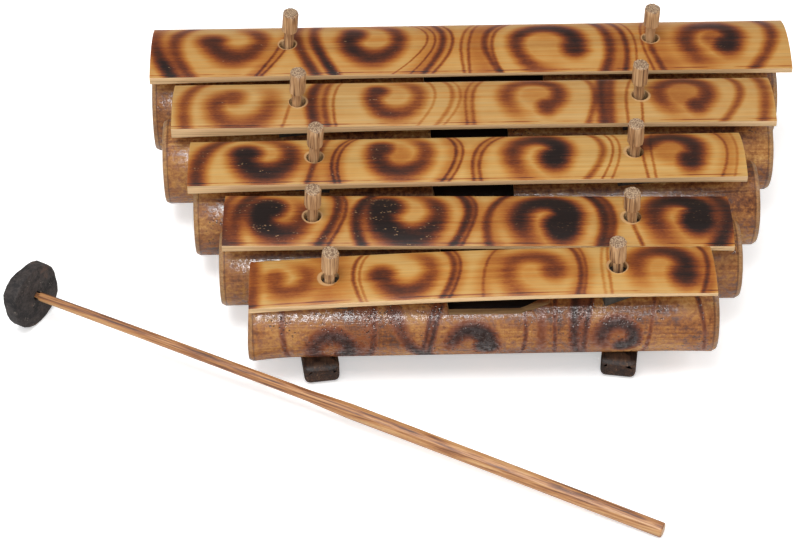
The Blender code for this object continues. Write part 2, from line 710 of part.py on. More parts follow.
def mallet_head_body():
    """A thick rubber disc with its rims eased."""
    outer = MALLET_HEAD_RADIUS
    inner = outer - MALLET_HEAD_ROUND
    back = -MALLET_HEAD_THICKNESS
    ease = MALLET_HEAD_ROUND
    profile = [(0.0, 0.0), (inner, 0.0), (outer, -ease), (outer, back + ease), (inner, back), (0.0, back)]
    return turned("mallet_head", profile, MALLET_HEAD_STEPS)


def handle_profile():
    """The handle from its tail to its tip: a thicker grip, then a thinner stick."""
    tip = -HANDLE_BEHIND_FACE
    tail = HANDLE_LENGTH - HANDLE_BEHIND_FACE
    points = [
        (HANDLE_TAIL_RADIUS - HANDLE_CHAMFER, tail),
        (HANDLE_TAIL_RADIUS, tail - HANDLE_CHAMFER),
        (HANDLE_GRIP_RADIUS, HANDLE_GRIP_START + HANDLE_GRIP_RUN),
        (HANDLE_MIDDLE_RADIUS, HANDLE_GRIP_START),
        (HANDLE_TIP_RADIUS, 0.0),
        (HANDLE_TIP_RADIUS, tip),
    ]
    return [(0.0, tail)] + points + [(0.0, tip)]


def make_mallet(shop, layout, stick_finish, head_finish):
    """Handle and head, both under one empty that marks the line they are picked up along."""
    head_frame, handle_frame = mallet_frames(layout)
    lift = bpy.data.objects.new("mallet_lift", None)
    grip = handle_frame @ Vector((HANDLE_GRIP_START, 0.0, 0.0))
    shop.place(lift, Matrix.Translation((grip.x, grip.y, 0.0)))
    under_lift = lift.matrix_basis.inverted()

    handle = turned("mallet_handle", handle_profile(), HANDLE_STEPS)
    handle.data.materials.append(stick_finish)
    shop.place(handle, under_lift @ handle_frame @ LAID_DOWN, parent=lift)

    head = mallet_head_body()
    head.data.materials.append(head_finish)
    shop.place(head, under_lift @ head_frame @ LAID_DOWN, parent=lift)
    through = HANDLE_TIP_RADIUS + TOUCH
    reach = CUT_SPAN * MALLET_HEAD_THICKNESS
    hole = turned("handle_hole", [(0.0, reach), (through, reach), (through, -reach), (0.0, -reach)],
                  HANDLE_STEPS)
    shop.place(hole, under_lift @ handle_frame @ LAID_DOWN, as_cutter=True, parent=lift)
    shape_with(head, hole)


def centre_on_ground(shop):
    """Moves everything so that the origin is the middle of the object's own footprint."""
    bpy.context.view_layer.update()
    graph = bpy.context.evaluated_depsgraph_get()
    corners = []
    for piece in shop.parts.objects:
        if piece.type == "MESH":
            shown = piece.evaluated_get(graph)
            corners += [shown.matrix_world @ vertex.co for vertex in shown.data.vertices]
    low = [min(corner[axis] for corner in corners) for axis in range(3)]
    high = [max(corner[axis] for corner in corners) for axis in range(3)]
    shop.ground.location = (-(low[0] + high[0]) / 2.0, -(low[1] + high[1]) / 2.0, -low[2])
    print("ground middle moved by", [round(value / MM, 3) for value in shop.ground.location])


def main():
    shop = Workshop()
    layout = Layout()
    slat = burnt_bamboo()
    cane = varnished_bamboo()
    peg_wood = peg_bamboo()
    rubber = pad_rubber()
    wood = stained_wood()

    rails = {side: make_rail(shop, layout, side, wood) for side in SIDES}
    for key in range(len(TUBES)):
        tube = make_tube(shop, layout, key, cane)
        make_bar(shop, layout, key, slat)
        for side in SIDES:
            bore = make_peg(shop, layout, key, side, peg_wood, rails[side], tube)
            make_pad(shop, layout, key, side, rubber, bore)
    make_mallet(shop, layout, handle_bamboo(), head_rubber())
    centre_on_ground(shop)


main()
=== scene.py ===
# %% [markdown]
# # A bamboo xylophone and its mallet: finishes
# The instrument has five arched keys over five tube resonators. The keys are pale bamboo with
# swirls burnt in by a torch, the tubes are brown and glossy, and the mallet has a rubber disc.
# The solid parts are loaded first, with the box they fill, because every later measure must
# agree with them.

# %% Load the solid parts
import math
import random

import bpy
import numpy
from mathutils import Matrix, Vector


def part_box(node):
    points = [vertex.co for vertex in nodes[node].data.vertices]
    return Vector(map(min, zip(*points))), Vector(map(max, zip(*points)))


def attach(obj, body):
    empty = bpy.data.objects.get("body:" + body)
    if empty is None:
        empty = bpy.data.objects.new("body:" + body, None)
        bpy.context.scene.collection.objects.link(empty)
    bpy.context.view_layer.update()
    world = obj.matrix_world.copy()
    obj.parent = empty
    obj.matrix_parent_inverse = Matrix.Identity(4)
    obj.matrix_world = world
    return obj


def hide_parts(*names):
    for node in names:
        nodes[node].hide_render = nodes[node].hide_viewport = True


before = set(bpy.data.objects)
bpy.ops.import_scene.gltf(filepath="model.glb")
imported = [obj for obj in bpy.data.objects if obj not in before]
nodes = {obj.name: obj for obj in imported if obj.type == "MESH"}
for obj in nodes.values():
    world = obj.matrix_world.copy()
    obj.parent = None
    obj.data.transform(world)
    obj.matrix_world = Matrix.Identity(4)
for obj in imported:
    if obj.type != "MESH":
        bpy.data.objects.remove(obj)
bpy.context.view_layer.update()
MM = 0.001
random.seed(11)

# %% [markdown]
# ## The camera
# The view is from the player's side, about forty degrees above the table, through a long lens.
# The place and the turn come from matching the ends of the keys, tubes and rails.
# A camera looks along its own -Z, so its matrix holds the right, up and backward directions.

# %% Camera
VIEW_AZIMUTH = math.radians(1.085)
VIEW_ELEVATION = math.radians(41.19)
VIEW_ROLL = math.radians(-0.34)
CAMERA_PLACE = Vector((-21.65, -831.7, 753.6)) * MM
LENS_MM = 101.9


def add_camera():
    forward = Vector((math.sin(VIEW_AZIMUTH) * math.cos(VIEW_ELEVATION),
                      math.cos(VIEW_AZIMUTH) * math.cos(VIEW_ELEVATION),
                      -math.sin(VIEW_ELEVATION)))
    level = Vector((math.cos(VIEW_AZIMUTH), -math.sin(VIEW_AZIMUTH), 0.0))
    raised = level.cross(forward)
    right = level * math.cos(VIEW_ROLL) + raised * math.sin(VIEW_ROLL)
    up = raised * math.cos(VIEW_ROLL) - level * math.sin(VIEW_ROLL)
    data = bpy.data.cameras.new("camera")
    data.lens = LENS_MM
    data.sensor_width = 36.0
    data.sensor_fit = "HORIZONTAL"
    camera = bpy.data.objects.new("camera", data)
    bpy.context.scene.collection.objects.link(camera)
    turn = Matrix((right, up, -forward)).transposed().to_4x4()
    camera.matrix_world = Matrix.Translation(CAMERA_PLACE) @ turn
    bpy.context.scene.camera = camera
    return camera


camera = add_camera()
print("camera at", [round(value, 3) for value in camera.location])

# %% [markdown]
# ## Table, light and sky
# A plain pale sheet carries the shadow, and the light comes from large soft lamps: one in
# front and above, which draws the long highlights on the tubes, and one weaker at the side.

# %% Floor and lamps
bpy.context.scene.view_settings.view_transform = "Standard"
SHEET_LIFT = 0.42


def add_floor():
    bpy.ops.object.select_all(action="DESELECT")
    bpy.ops.mesh.primitive_plane_add(size=6.0, location=(0.0, 0.0, -0.0002))
    floor = bpy.context.object
    floor.name = "floor"
    mat = bpy.data.materials.new("white_sheet")
    mat.use_nodes = True
    tree = mat.node_tree
    shader = tree.nodes["Principled BSDF"]
    shader.inputs["Base Color"].default_value = (0.93, 0.93, 0.93, 1.0)
    shader.inputs["Roughness"].default_value = 0.9
    shader.inputs["Emission Color"].default_value = (1.0, 1.0, 1.0, 1.0)
    rays = tree.nodes.new("ShaderNodeLightPath")
    glow = tree.nodes.new("ShaderNodeMath")
    glow.operation = "MULTIPLY"
    glow.inputs[1].default_value = SHEET_LIFT
    tree.links.new(rays.outputs["Is Camera Ray"], glow.inputs[0])
    tree.links.new(glow.outputs[0], shader.inputs["Emission Strength"])
    floor.data.materials.append(mat)
    return floor


def add_lamp(name, place, target, size, power):
    data = bpy.data.lights.new(name, "AREA")
    data.energy = power
    data.size = size
    lamp = bpy.data.objects.new(name, data)
    bpy.context.scene.collection.objects.link(lamp)
    lamp.location = place
    lamp.rotation_euler = (Vector(target) - Vector(place)).to_track_quat("-Z", "Y").to_euler()
    return lamp


floor = add_floor()
add_lamp("overhead_lamp", (-0.3, -0.45, 1.65), (0.0, 0.0, 0.0), 0.8, 17.0)
add_lamp("front_lamp", (0.0, -1.5, 1.0), (0.0, 0.0, 0.0), 1.2, 7.0)
add_lamp("side_lamp", (1.4, 0.2, 1.0), (0.0, 0.0, 0.0), 0.9, 8.0)
add_lamp("left_lamp", (-1.4, 0.1, 0.9), (0.0, 0.0, 0.0), 0.9, 5.0)
gloss_lamp = add_lamp("gloss_lamp", (-0.22, -0.80, 1.02), (-0.08, 0.0, 0.0), 0.5, 24.0)
gloss_lamp.visible_diffuse = False
world = bpy.data.worlds.new("soft_room")
bpy.context.scene.world = world
world.use_nodes = True
world.node_tree.nodes["Background"].inputs["Color"].default_value = (1.0, 1.0, 1.0, 1.0)
world.node_tree.nodes["Background"].inputs["Strength"].default_value = 0.35
print("floor and lamps ready")

# %% [markdown]
# ## Working the pieces
# The solid parts are exact but cold: their edges are sharp and their curves are flat strips.
# Each piece here starts from a copy of its solid part, so that it stays in its place. Its
# loose triangles are merged, its flat faces are joined, its edges get a small worn bevel, and
# its curves are shaded smooth, while true edges stay crisp.

# %% Start from a solid part
MERGE = 0.00002
FLAT = math.radians(0.05)
pieces = {}


def take(piece):
    bpy.ops.object.select_all(action="DESELECT")
    piece.select_set(True)
    bpy.context.view_layer.objects.active = piece


def start_from(node):
    """A piece with the mesh of a solid part, merged into one skin."""
    piece = bpy.data.objects.new(f"{node}_worked", nodes[node].data.copy())
    bpy.context.scene.collection.objects.link(piece)
    take(piece)
    bpy.ops.object.mode_set(mode="EDIT")
    bpy.ops.mesh.select_all(action="SELECT")
    bpy.ops.mesh.remove_doubles(threshold=MERGE)
    bpy.ops.mesh.dissolve_degenerate(threshold=MERGE)
    bpy.ops.mesh.dissolve_limited(angle_limit=FLAT)
    bpy.ops.object.mode_set(mode="OBJECT")
    return piece


def apply_modifier(piece, kind, **settings):
    take(piece)
    bpy.ops.object.modifier_add(type=kind)
    made = piece.modifiers[-1]
    for name, value in settings.items():
        setattr(made, name, value)
    bpy.ops.object.modifier_apply(modifier=made.name)


def worn_edges(piece, width, steepest=38.0):
    apply_modifier(piece, "BEVEL", width=width * MM, segments=2, limit_method="ANGLE",
                   angle_limit=math.radians(steepest))


def finish_piece(piece, node, body, smooth=35.0):
    """Shades a piece, hangs it on its body, hides the solid part it stands for, and remembers it."""
    take(piece)
    bpy.ops.object.shade_smooth_by_angle(angle=math.radians(smooth))
    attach(piece, body)
    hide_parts(node)
    pieces[node] = piece


def pick_vertices(piece, wanted):
    """Edit mode with only those corners selected that the test wants."""
    take(piece)
    bpy.ops.object.mode_set(mode="EDIT")
    bpy.ops.mesh.select_mode(type="VERT")
    bpy.ops.mesh.select_all(action="DESELECT")
    bpy.ops.object.mode_set(mode="OBJECT")
    for vertex in piece.data.vertices:
        vertex.select = wanted(vertex.co)
    bpy.ops.object.mode_set(mode="EDIT")


print("working helpers ready")

# %% [markdown]
# ## Bars and tubes
# A bar's crown and a tube's skin must run smooth under the light, or the gloss breaks into
# facets. Only their sawn and split edges get a bevel, as fine as sandpaper leaves it. The
# front tube was sawn close to a node of the culm, so its left end hangs lower and leans in.

# %% Bars and tubes
FLARE_RUN = 19.0
FLARE_DROP = 2.1
FLARE_LEAN = 0.9
FLARE_CUTS = (0.25, 0.5, 0.75, 1.0)


def cut_across(piece, point, along):
    """Divides a piece's faces along a flat plane, without removing anything."""
    take(piece)
    bpy.ops.object.mode_set(mode="EDIT")
    bpy.ops.mesh.select_all(action="SELECT")
    bpy.ops.mesh.bisect(plane_co=point, plane_no=along)
    bpy.ops.object.mode_set(mode="OBJECT")


def flare_left_end(tube):
    """Lowers the underside of a tube's last stretch, more and more towards its left end."""
    low, high = (Vector(corner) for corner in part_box("tube_5"))
    middle = (low.z + high.z) / 2.0
    for share in FLARE_CUTS:
        cut_across(tube, (low.x + share * FLARE_RUN * MM, 0.0, 0.0), (1.0, 0.0, 0.0))
    for vertex in tube.data.vertices:
        near = 1.0 - (vertex.co.x - low.x) / (FLARE_RUN * MM)
        if near <= 0.0:
            continue
        below = min(1.0, max(0.0, (middle - vertex.co.z) / (middle - low.z)))
        above = min(1.0, max(0.0, (vertex.co.z - middle) / (high.z - middle)))
        vertex.co.z -= FLARE_DROP * MM * near ** 1.6 * below
        vertex.co.x += FLARE_LEAN * MM * near * above


for key in range(1, 6):
    bar = start_from(f"bar_{key}")
    worn_edges(bar, 0.25)
    finish_piece(bar, f"bar_{key}", f"key_{key}")
    tube = start_from(f"tube_{key}")
    if key == 5:
        flare_left_end(tube)
    worn_edges(tube, 0.3)
    finish_piece(tube, f"tube_{key}", "stand")
    print(key, "bar faces", len(bar.data.polygons), "tube faces", len(tube.data.polygons))

# %% [markdown]
# ## Pegs
# A peg is split off a stick and whittled with a knife: flat cuts of uneven width, a ragged
# step where the thick head was left standing, and a top chopped across the fibres. The solid
# part has the sizes. Here its cuts are divided along their length, the corners at the step and
# at the top are pushed about a little, and the facets keep their edges.

# %% Pegs
PEG_ROUGHNESS = 0.30
PEG_TOP_REACH = 1.2


def whittle(peg, seed):
    top = max(vertex.co.z for vertex in peg.data.vertices)
    pick_vertices(peg, lambda co: True)
    bpy.ops.mesh.select_mode(type="FACE")
    bpy.ops.mesh.subdivide(number_cuts=2)
    bpy.ops.object.mode_set(mode="OBJECT")
    pick_vertices(peg, lambda co: co.z > top - PEG_TOP_REACH * MM)
    bpy.ops.transform.vertex_random(offset=PEG_ROUGHNESS * MM, seed=seed)
    bpy.ops.object.mode_set(mode="OBJECT")
    pick_vertices(peg, lambda co: co.z < top - PEG_TOP_REACH * MM)
    bpy.ops.transform.vertex_random(offset=PEG_ROUGHNESS * 0.4 * MM, seed=seed + 50)
    bpy.ops.object.mode_set(mode="OBJECT")


for number, (side, key) in enumerate((side, key) for side in ("left", "right") for key in range(1, 6)):
    peg = start_from(f"peg_{side}_{key}")
    whittle(peg, number + 1)
    finish_piece(peg, f"peg_{side}_{key}", "stand", 22.0)
print("pegs whittled, faces each about", len(peg.data.polygons))

# %% [markdown]
# ## Pads and rails
# The pads are cut from rubber sheet with a knife, so their edges are nearly sharp. The rails
# are split branches: their backs are round and only their undersides are flat, so the two long
# upper edges are rounded far more than the lower ones.

# %% Pads and rails
RAIL_BACK_ROUND = 3.2
RAIL_FOOT_ROUND = 1.2
RAIL_EDGE_LENGTH = 30.0


def round_rail(rail):
    """Rounds the edges of the rail's back, then those of its foot."""
    top = max(vertex.co.z for vertex in rail.data.vertices)
    for height, width in ((top, RAIL_BACK_ROUND), (0.0, RAIL_FOOT_ROUND)):
        take(rail)
        bpy.ops.object.mode_set(mode="EDIT")
        bpy.ops.mesh.select_mode(type="EDGE")
        bpy.ops.mesh.select_all(action="DESELECT")
        bpy.ops.mesh.edges_select_sharp(sharpness=math.radians(40.0))
        bpy.ops.object.mode_set(mode="OBJECT")
        corners = rail.data.vertices
        for edge in rail.data.edges:
            a, b = (corners[i].co for i in edge.vertices)
            level = max(abs(a.z - height), abs(b.z - height)) < 0.1 * MM
            long = (b - a).length > RAIL_EDGE_LENGTH * MM and abs(b.y - a.y) > abs(b.x - a.x)
            edge.select = edge.select and level and long
        print("edges to round:", sum(edge.select for edge in rail.data.edges))
        bpy.ops.object.mode_set(mode="EDIT")
        bpy.ops.mesh.bevel(offset=width * MM, segments=4, affect="EDGES")
        bpy.ops.object.mode_set(mode="OBJECT")


for side in ("left", "right"):
    for key in range(1, 6):
        pad = start_from(f"pad_{side}_{key}")
        worn_edges(pad, 0.35)
        finish_piece(pad, f"pad_{side}_{key}", "stand")
    rail = start_from(f"rail_{side}")
    round_rail(rail)
    finish_piece(rail, f"rail_{side}", "stand")
print("pads and rails worked")

# %% [markdown]
# ## The mallet's disc
# The disc was cut out of a thick sheet of rubber with some twenty straight cuts, so its
# outline is a lumpy polygon, nearly upright, and its edges are crisp. The solid part is a
# round disc of the same size. Each corner of its rim is moved out or in along its own
# direction, by the lengths below. They run round the disc from the side away from the player
# over the top.

# %% Mallet head
HEAD_YAW = math.radians(-31.0)
HEAD_RIM = (15.6, 15.8, 15.9, 15.9, 15.7, 15.7, 15.9, 16.6, 17.5, 17.9, 18.4, 17.6,
            16.9, 16.9, 17.1, 17.0, 17.0, 17.1, 17.1, 17.3, 17.6, 18.4, 18.2, 16.8)
HEAD_BACK = (1.0, 1.0, 1.0, 1.0, 0.97, 0.93, 0.90, 0.93, 0.97, 1.0, 1.0, 0.97,
             0.94, 0.95, 0.96, 1.0, 1.0, 1.0, 1.0, 1.0, 1.0, 1.0, 1.0, 1.0)
RIM_START = 15.0 * MM
GROUND_GAP = 0.02 * MM

head = start_from("mallet_head")
head_axis = Vector((math.cos(HEAD_YAW), math.sin(HEAD_YAW), 0.0))
head_side = Vector((-math.sin(HEAD_YAW), math.cos(HEAD_YAW), 0.0))
low, high = (Vector(corner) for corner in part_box("mallet_head"))
head_middle = (low + high) / 2.0
for vertex in head.data.vertices:
    away = vertex.co - head_middle
    along = away.dot(head_axis)
    flat = Vector((away.dot(head_side), away.z))
    if flat.length < RIM_START:
        continue
    step = math.degrees(math.atan2(flat.y, flat.x)) % 360.0 / 15.0
    near, share = int(step) % 24, step - int(step)
    beyond = (near + 1) % 24
    reach = HEAD_RIM[near] * (1.0 - share) + HEAD_RIM[beyond] * share
    if along < 0.0:
        reach *= HEAD_BACK[near] * (1.0 - share) + HEAD_BACK[beyond] * share
    flat = flat / flat.length * (reach * MM - (17.0 * MM - flat.length))
    vertex.co = head_middle + head_axis * along + head_side * flat.x + Vector((0.0, 0.0, flat.y))
    vertex.co.z = max(vertex.co.z, GROUND_GAP)
worn_edges(head, 0.35, 30.0)
finish_piece(head, "mallet_head", "mallet", 24.0)
print("disc faces", len(head.data.polygons))

# %% [markdown]
# ## The mallet's stick
# A stick split from the culm and whittled: thin from the disc on, thicker at the grip, and a
# little bowed. Just before the disc it is cut down to a thin tenon with a rounded shoulder.
# The solid part is straight, so it is divided across its length first. Then each ring of
# corners is drawn in towards the axis at the shoulder, and the rings between are lifted to
# follow the bow.

# %% Mallet handle
HANDLE_YAW = math.radians(-27.3)
SHOULDER = ((-1.0, 0.60), (0.6, 0.62), (1.0, 0.78), (1.6, 0.91), (2.6, 0.98))
BOW_CUTS = (30.0, 70.0, 110.0, 200.0, 240.0, 280.0)
BOW_HEIGHT = 1.1
GRIP_FLAT = 150.0

handle = start_from("mallet_handle")
corners = numpy.array([vertex.co[:] for vertex in handle.data.vertices])
flat_along = numpy.array([math.cos(HANDLE_YAW), math.sin(HANDLE_YAW), 0.0])
reach = corners @ flat_along
tip, tail = (corners[numpy.abs(reach - end) < 1.5 * MM] for end in (reach.min(), reach.max()))
tip, tail = (Vector((end.min(axis=0) + end.max(axis=0)) / 2.0) for end in (tip, tail))
stick = (tail - tip).normalized()
behind = (head_axis.dot(tip) - head_axis.dot(head_middle) - 4.0 * MM) / head_axis.dot(stick)
start_of_stick = tip - stick * behind
stick_length = (tail - start_of_stick).length
for place in [place for place, _ in SHOULDER] + list(BOW_CUTS):
    cut_across(handle, start_of_stick + stick * place * MM, stick)
for vertex in handle.data.vertices:
    away = vertex.co - start_of_stick
    along = away.dot(stick)
    outward = away - stick * along
    thinner = numpy.interp(along / MM, *zip(*SHOULDER)) if along < SHOULDER[-1][0] * MM + 1e-5 else 1.0
    share = min(1.0, max(0.0, along / stick_length))
    lift = BOW_HEIGHT * MM * 4.0 * share * (1.0 - share)
    vertex.co = start_of_stick + stick * along + outward * float(thinner) + Vector((0.0, 0.0, lift))
worn_edges(handle, 0.25)
finish_piece(handle, "mallet_handle", "mallet", 28.0)
print("stick of", round(stick_length / MM, 1), "mm, pieces worked:", len(pieces))

# %% [markdown]
# ## Helpers for materials
# A material is a small graph of nodes. These helpers add one node or one sum at a time, so
# that a finish reads from top to bottom like a recipe.

# %% Node helpers


class Recipe:
    """A node tree with short words for the nodes that the finishes use."""

    def __init__(self, tree):
        self.tree = tree

    def node(self, kind, **settings):
        made = self.tree.nodes.new(kind)
        for name, value in settings.items():
            setattr(made, name, value)
        return made

    def link(self, source, target):
        self.tree.links.new(source, target)

    def feed(self, socket, value):
        if hasattr(value, "is_output"):
            self.link(value, socket)
        else:
            socket.default_value = value

    def math(self, operation, a, b=0.0, c=0.0, clamp=False):
        made = self.node("ShaderNodeMath", operation=operation, use_clamp=clamp)
        for socket, value in zip(made.inputs, (a, b, c)):
            self.feed(socket, value)
        return made.outputs[0]

    def vector(self, operation, a, b=(0.0, 0.0, 0.0)):
        made = self.node("ShaderNodeVectorMath", operation=operation)
        self.feed(made.inputs[0], a)
        self.feed(made.inputs[1], b)
        return made.outputs[0]

    def node_part(self, vector, part):
        made = self.node("ShaderNodeSeparateXYZ")
        self.feed(made.inputs[0], vector)
        return made.outputs[part]

    def noise(self, vector, scale, detail=3.0, roughness=0.5, distortion=0.0):
        made = self.node("ShaderNodeTexNoise")
        self.feed(made.inputs["Vector"], vector)
        made.inputs["Scale"].default_value = scale
        made.inputs["Detail"].default_value = detail
        made.inputs["Roughness"].default_value = roughness
        made.inputs["Distortion"].default_value = distortion
        return made.outputs["Fac"]

    def ramp(self, value, stops):
        made = self.node("ShaderNodeValToRGB")
        self.feed(made.inputs["Fac"], value)
        band = made.color_ramp
        while len(band.elements) < len(stops):
            band.elements.new(0.5)
        for element, (place, colour) in zip(band.elements, stops):
            element.position = place
            element.color = (*colour, 1.0)
        return made.outputs["Color"]

    def smooth(self, value, low, high):
        made = self.node("ShaderNodeMapRange", interpolation_type="SMOOTHSTEP")
        self.feed(made.inputs["Value"], value)
        made.inputs["From Min"].default_value = low
        made.inputs["From Max"].default_value = high
        return made.outputs["Result"]

    def mix(self, factor, a, b, blend="MIX"):
        made = self.node("ShaderNodeMix", data_type="RGBA", blend_type=blend)
        self.feed(made.inputs[0], factor)
        self.feed(made.inputs[6], a if hasattr(a, "is_output") else (*a, 1.0))
        self.feed(made.inputs[7], b if hasattr(b, "is_output") else (*b, 1.0))
        return made.outputs[2]

    def bump(self, height, strength, distance):
        made = self.node("ShaderNodeBump")
        made.inputs["Strength"].default_value = strength
        made.inputs["Distance"].default_value = distance
        self.feed(made.inputs["Height"], height)
        return made.outputs["Normal"]


def new_material(name, roughness, coat=0.0):
    mat = bpy.data.materials.new(name)
    mat.use_nodes = True
    shader = mat.node_tree.nodes["Principled BSDF"]
    shader.inputs["Roughness"].default_value = roughness
    shader.inputs["Coat Weight"].default_value = coat
    shader.inputs["Coat Roughness"].default_value = 0.12
    return mat, shader, Recipe(mat.node_tree)


def object_place(recipe):
    return recipe.node("ShaderNodeTexCoord").outputs["Object"]


def stretched(recipe, place, factors):
    return recipe.vector("MULTIPLY", place, factors)


print("node helpers ready")

# %% [markdown]
# ## The burnt curl and the scorched band
# A torch is led over the bamboo in a curl. It starts in a round dark head, runs on
# counterclockwise for most of a turn, and fades out. On both sides of a curl the heat leaves
# curved brown bands and thin dark lines, cut off by the bar's edges. No two are alike, so two
# node groups make any of them from a few numbers: where a curl lies, how far its arm runs from
# the middle at its start and its end, how broad and how dark it is there, and where a band
# crosses the bar's middle line, how it leans and bends, how broad it is, and how dark behind
# and before that line. Curls drawn as sums of distance and angle stay sharp at any size.

# %% Curl and band node groups
HEAD_CORE = 0.15
HEAD_SHARE = 1.05
FADE_START = 0.72
BAND_SOFTNESS = 1.3
BAND_DEPTH = 32.0
WASH_EDGE = 4.0
CURL_NUMBERS = ("Turn", "Near", "Far", "Width", "Thin", "Length", "Force", "Fade", "Wash")
BAND_NUMBERS = ("Crossing", "Lean", "Bend", "Half Width", "Behind", "Before")


def length_of(recipe, x, y):
    squares = recipe.math("ADD", recipe.math("MULTIPLY", x, x), recipe.math("MULTIPLY", y, y))
    return recipe.math("SQRT", squares)


def between(recipe, share, low, high):
    """The value on the way from low to high, for a share from 0 to 1."""
    return recipe.math("MULTIPLY_ADD", share, recipe.math("SUBTRACT", high, low), low)


def empty_group(name, numbers):
    """A node group that turns a place and some numbers into one mask called Burn."""
    group = bpy.data.node_groups.new(name, "ShaderNodeTree")
    panel = group.interface
    for vector in ("Place", "Centre"):
        panel.new_socket(vector, in_out="INPUT", socket_type="NodeSocketVector")
    for number in ("Fray", *numbers):
        panel.new_socket(number, in_out="INPUT", socket_type="NodeSocketFloat")
    panel.new_socket("Burn", in_out="OUTPUT", socket_type="NodeSocketFloat")
    recipe = Recipe(group)
    given = recipe.node("NodeGroupInput").outputs
    offset = recipe.vector("SUBTRACT", given["Place"], given["Centre"])
    parts = recipe.node("ShaderNodeSeparateXYZ")
    recipe.link(recipe.vector("MULTIPLY", offset, (1.0 / MM, 1.0 / MM, 0.0)), parts.inputs[0])
    x = recipe.math("ADD", parts.outputs["X"], recipe.math("DIVIDE", given["Fray"], MM))
    return group, recipe, given, x, parts.outputs["Y"]


def hand_out(recipe, mask):
    recipe.link(mask, recipe.node("NodeGroupOutput").inputs["Burn"])


def curl_group():
    group, recipe, given, x, y = empty_group("burnt_curl", CURL_NUMBERS)
    distance = length_of(recipe, x, y)
    angle = recipe.math("ARCTAN2", y, x)
    run = recipe.math("FLOORED_MODULO", recipe.math("SUBTRACT", angle, given["Turn"]), 2 * math.pi)
    share = recipe.math("DIVIDE", recipe.math("DIVIDE", run, 2 * math.pi), given["Length"])
    eased = recipe.smooth(share, 0.0, 1.0)
    middle = between(recipe, eased, given["Near"], given["Far"])
    half_width = between(recipe, eased, given["Width"], given["Thin"])
    off = recipe.math("ABSOLUTE", recipe.math("SUBTRACT", distance, middle))
    arm = recipe.smooth(recipe.math("DIVIDE", off, half_width), 1.0, 0.0)
    paling = between(recipe, recipe.smooth(share, 0.12, 0.85), 1.0, given["Fade"])
    end = recipe.smooth(share, 1.0, FADE_START)
    arm = recipe.math("MULTIPLY", recipe.math("MULTIPLY", arm, paling), end)
    head_x = recipe.math("SUBTRACT", x, recipe.math("MULTIPLY", given["Near"], recipe.math("COSINE", given["Turn"])))
    head_y = recipe.math("SUBTRACT", y, recipe.math("MULTIPLY", given["Near"], recipe.math("SINE", given["Turn"])))
    reach = recipe.math("MULTIPLY", given["Width"], HEAD_SHARE)
    head = recipe.smooth(recipe.math("DIVIDE", length_of(recipe, head_x, head_y), reach), 1.0, HEAD_CORE)
    burn = recipe.math("MULTIPLY", recipe.math("MAXIMUM", arm, head), given["Force"])
    past = recipe.math("SUBTRACT", distance, given["Near"])
    wash = recipe.math("MULTIPLY", recipe.smooth(past, WASH_EDGE, -WASH_EDGE), given["Wash"])
    hand_out(recipe, recipe.math("MINIMUM", recipe.math("MAXIMUM", burn, wash), 1.0))
    return group


def band_group():
    group, recipe, given, x, y = empty_group("scorched_band", BAND_NUMBERS)
    bent = recipe.math("MULTIPLY_ADD", given["Bend"], y, given["Lean"])
    line = recipe.math("MULTIPLY_ADD", bent, y, given["Crossing"])
    off = recipe.math("ABSOLUTE", recipe.math("SUBTRACT", x, line))
    reach = recipe.math("MULTIPLY", given["Half Width"], BAND_SOFTNESS)
    band = recipe.smooth(recipe.math("DIVIDE", off, reach), 1.0, 0.0)
    depth = recipe.math("MULTIPLY_ADD", y, 1.0 / BAND_DEPTH, 0.5, clamp=True)
    force = between(recipe, depth, given["Before"], given["Behind"])
    hand_out(recipe, recipe.math("MULTIPLY", band, force))
    return group


CURL = curl_group()
BAND = band_group()
print("curl group has", len(CURL.nodes), "nodes, band group", len(BAND.nodes))

# %% [markdown]
# ## The bars' measures
# A finish that follows the bar, such as the thin line along its front edge or the pale rim of
# its holes, needs to know where that edge and those holes are. Both are read from the mesh of
# the solid part: a curve through its front corners, and the middle of each ring of corners
# round a peg.

# %% Measures of a bar
HOLE_REACH = 7.5 * MM
END_REACH = 3.0 * MM
FRONT_REACH = 1.8 * MM


def front_curve(node):
    """Constants a, b, c of y = a + b x + c x x along the front edge of a bar, in metres."""
    corners = numpy.array([vertex.co[:2] for vertex in nodes[node].data.vertices])
    ends = []
    for end in (corners[:, 0].min(), corners[:, 0].max()):
        near = corners[numpy.abs(corners[:, 0] - end) < END_REACH]
        ends.append(near[near[:, 1].argmin()])
    (x0, y0), (x1, y1) = ends
    straight = y0 + (y1 - y0) / (x1 - x0) * (corners[:, 0] - x0)
    along = corners[numpy.abs(corners[:, 1] - straight) < FRONT_REACH]
    c, b, a = numpy.polyfit(along[:, 0], along[:, 1], 2)
    return a, b, c


def hole_middle(node, peg):
    """The middle of the hole that a peg passes through, seen from above."""
    low, high = (Vector(corner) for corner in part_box(peg))
    guess = ((low + high) * 0.5).to_2d()
    ring = [vertex.co.to_2d() for vertex in nodes[node].data.vertices
            if (vertex.co.to_2d() - guess).length < HOLE_REACH]
    return sum(ring, Vector((0.0, 0.0))) / len(ring)


for key in range(1, 6):
    holes = [hole_middle(f"bar_{key}", f"peg_{side}_{key}") for side in ("left", "right")]
    print(f"bar_{key}", [round(value, 5) for value in front_curve(f"bar_{key}")], holes)

# %% [markdown]
# ## The keys
# Bamboo split from a thick culm. Its skin is pale straw with fine fibres along the length, and
# the burn lies over it: orange at its rim, then rust, brown, and black where the torch stayed
# longest. The edge of a burn is frayed along the fibres, so the pattern's place is pushed to
# and fro along them. Pits in the skin stay pale inside the burn. The split faces at front and
# back are raw and cream, with long dark lines, and the sawn ends show the fibres as dots.

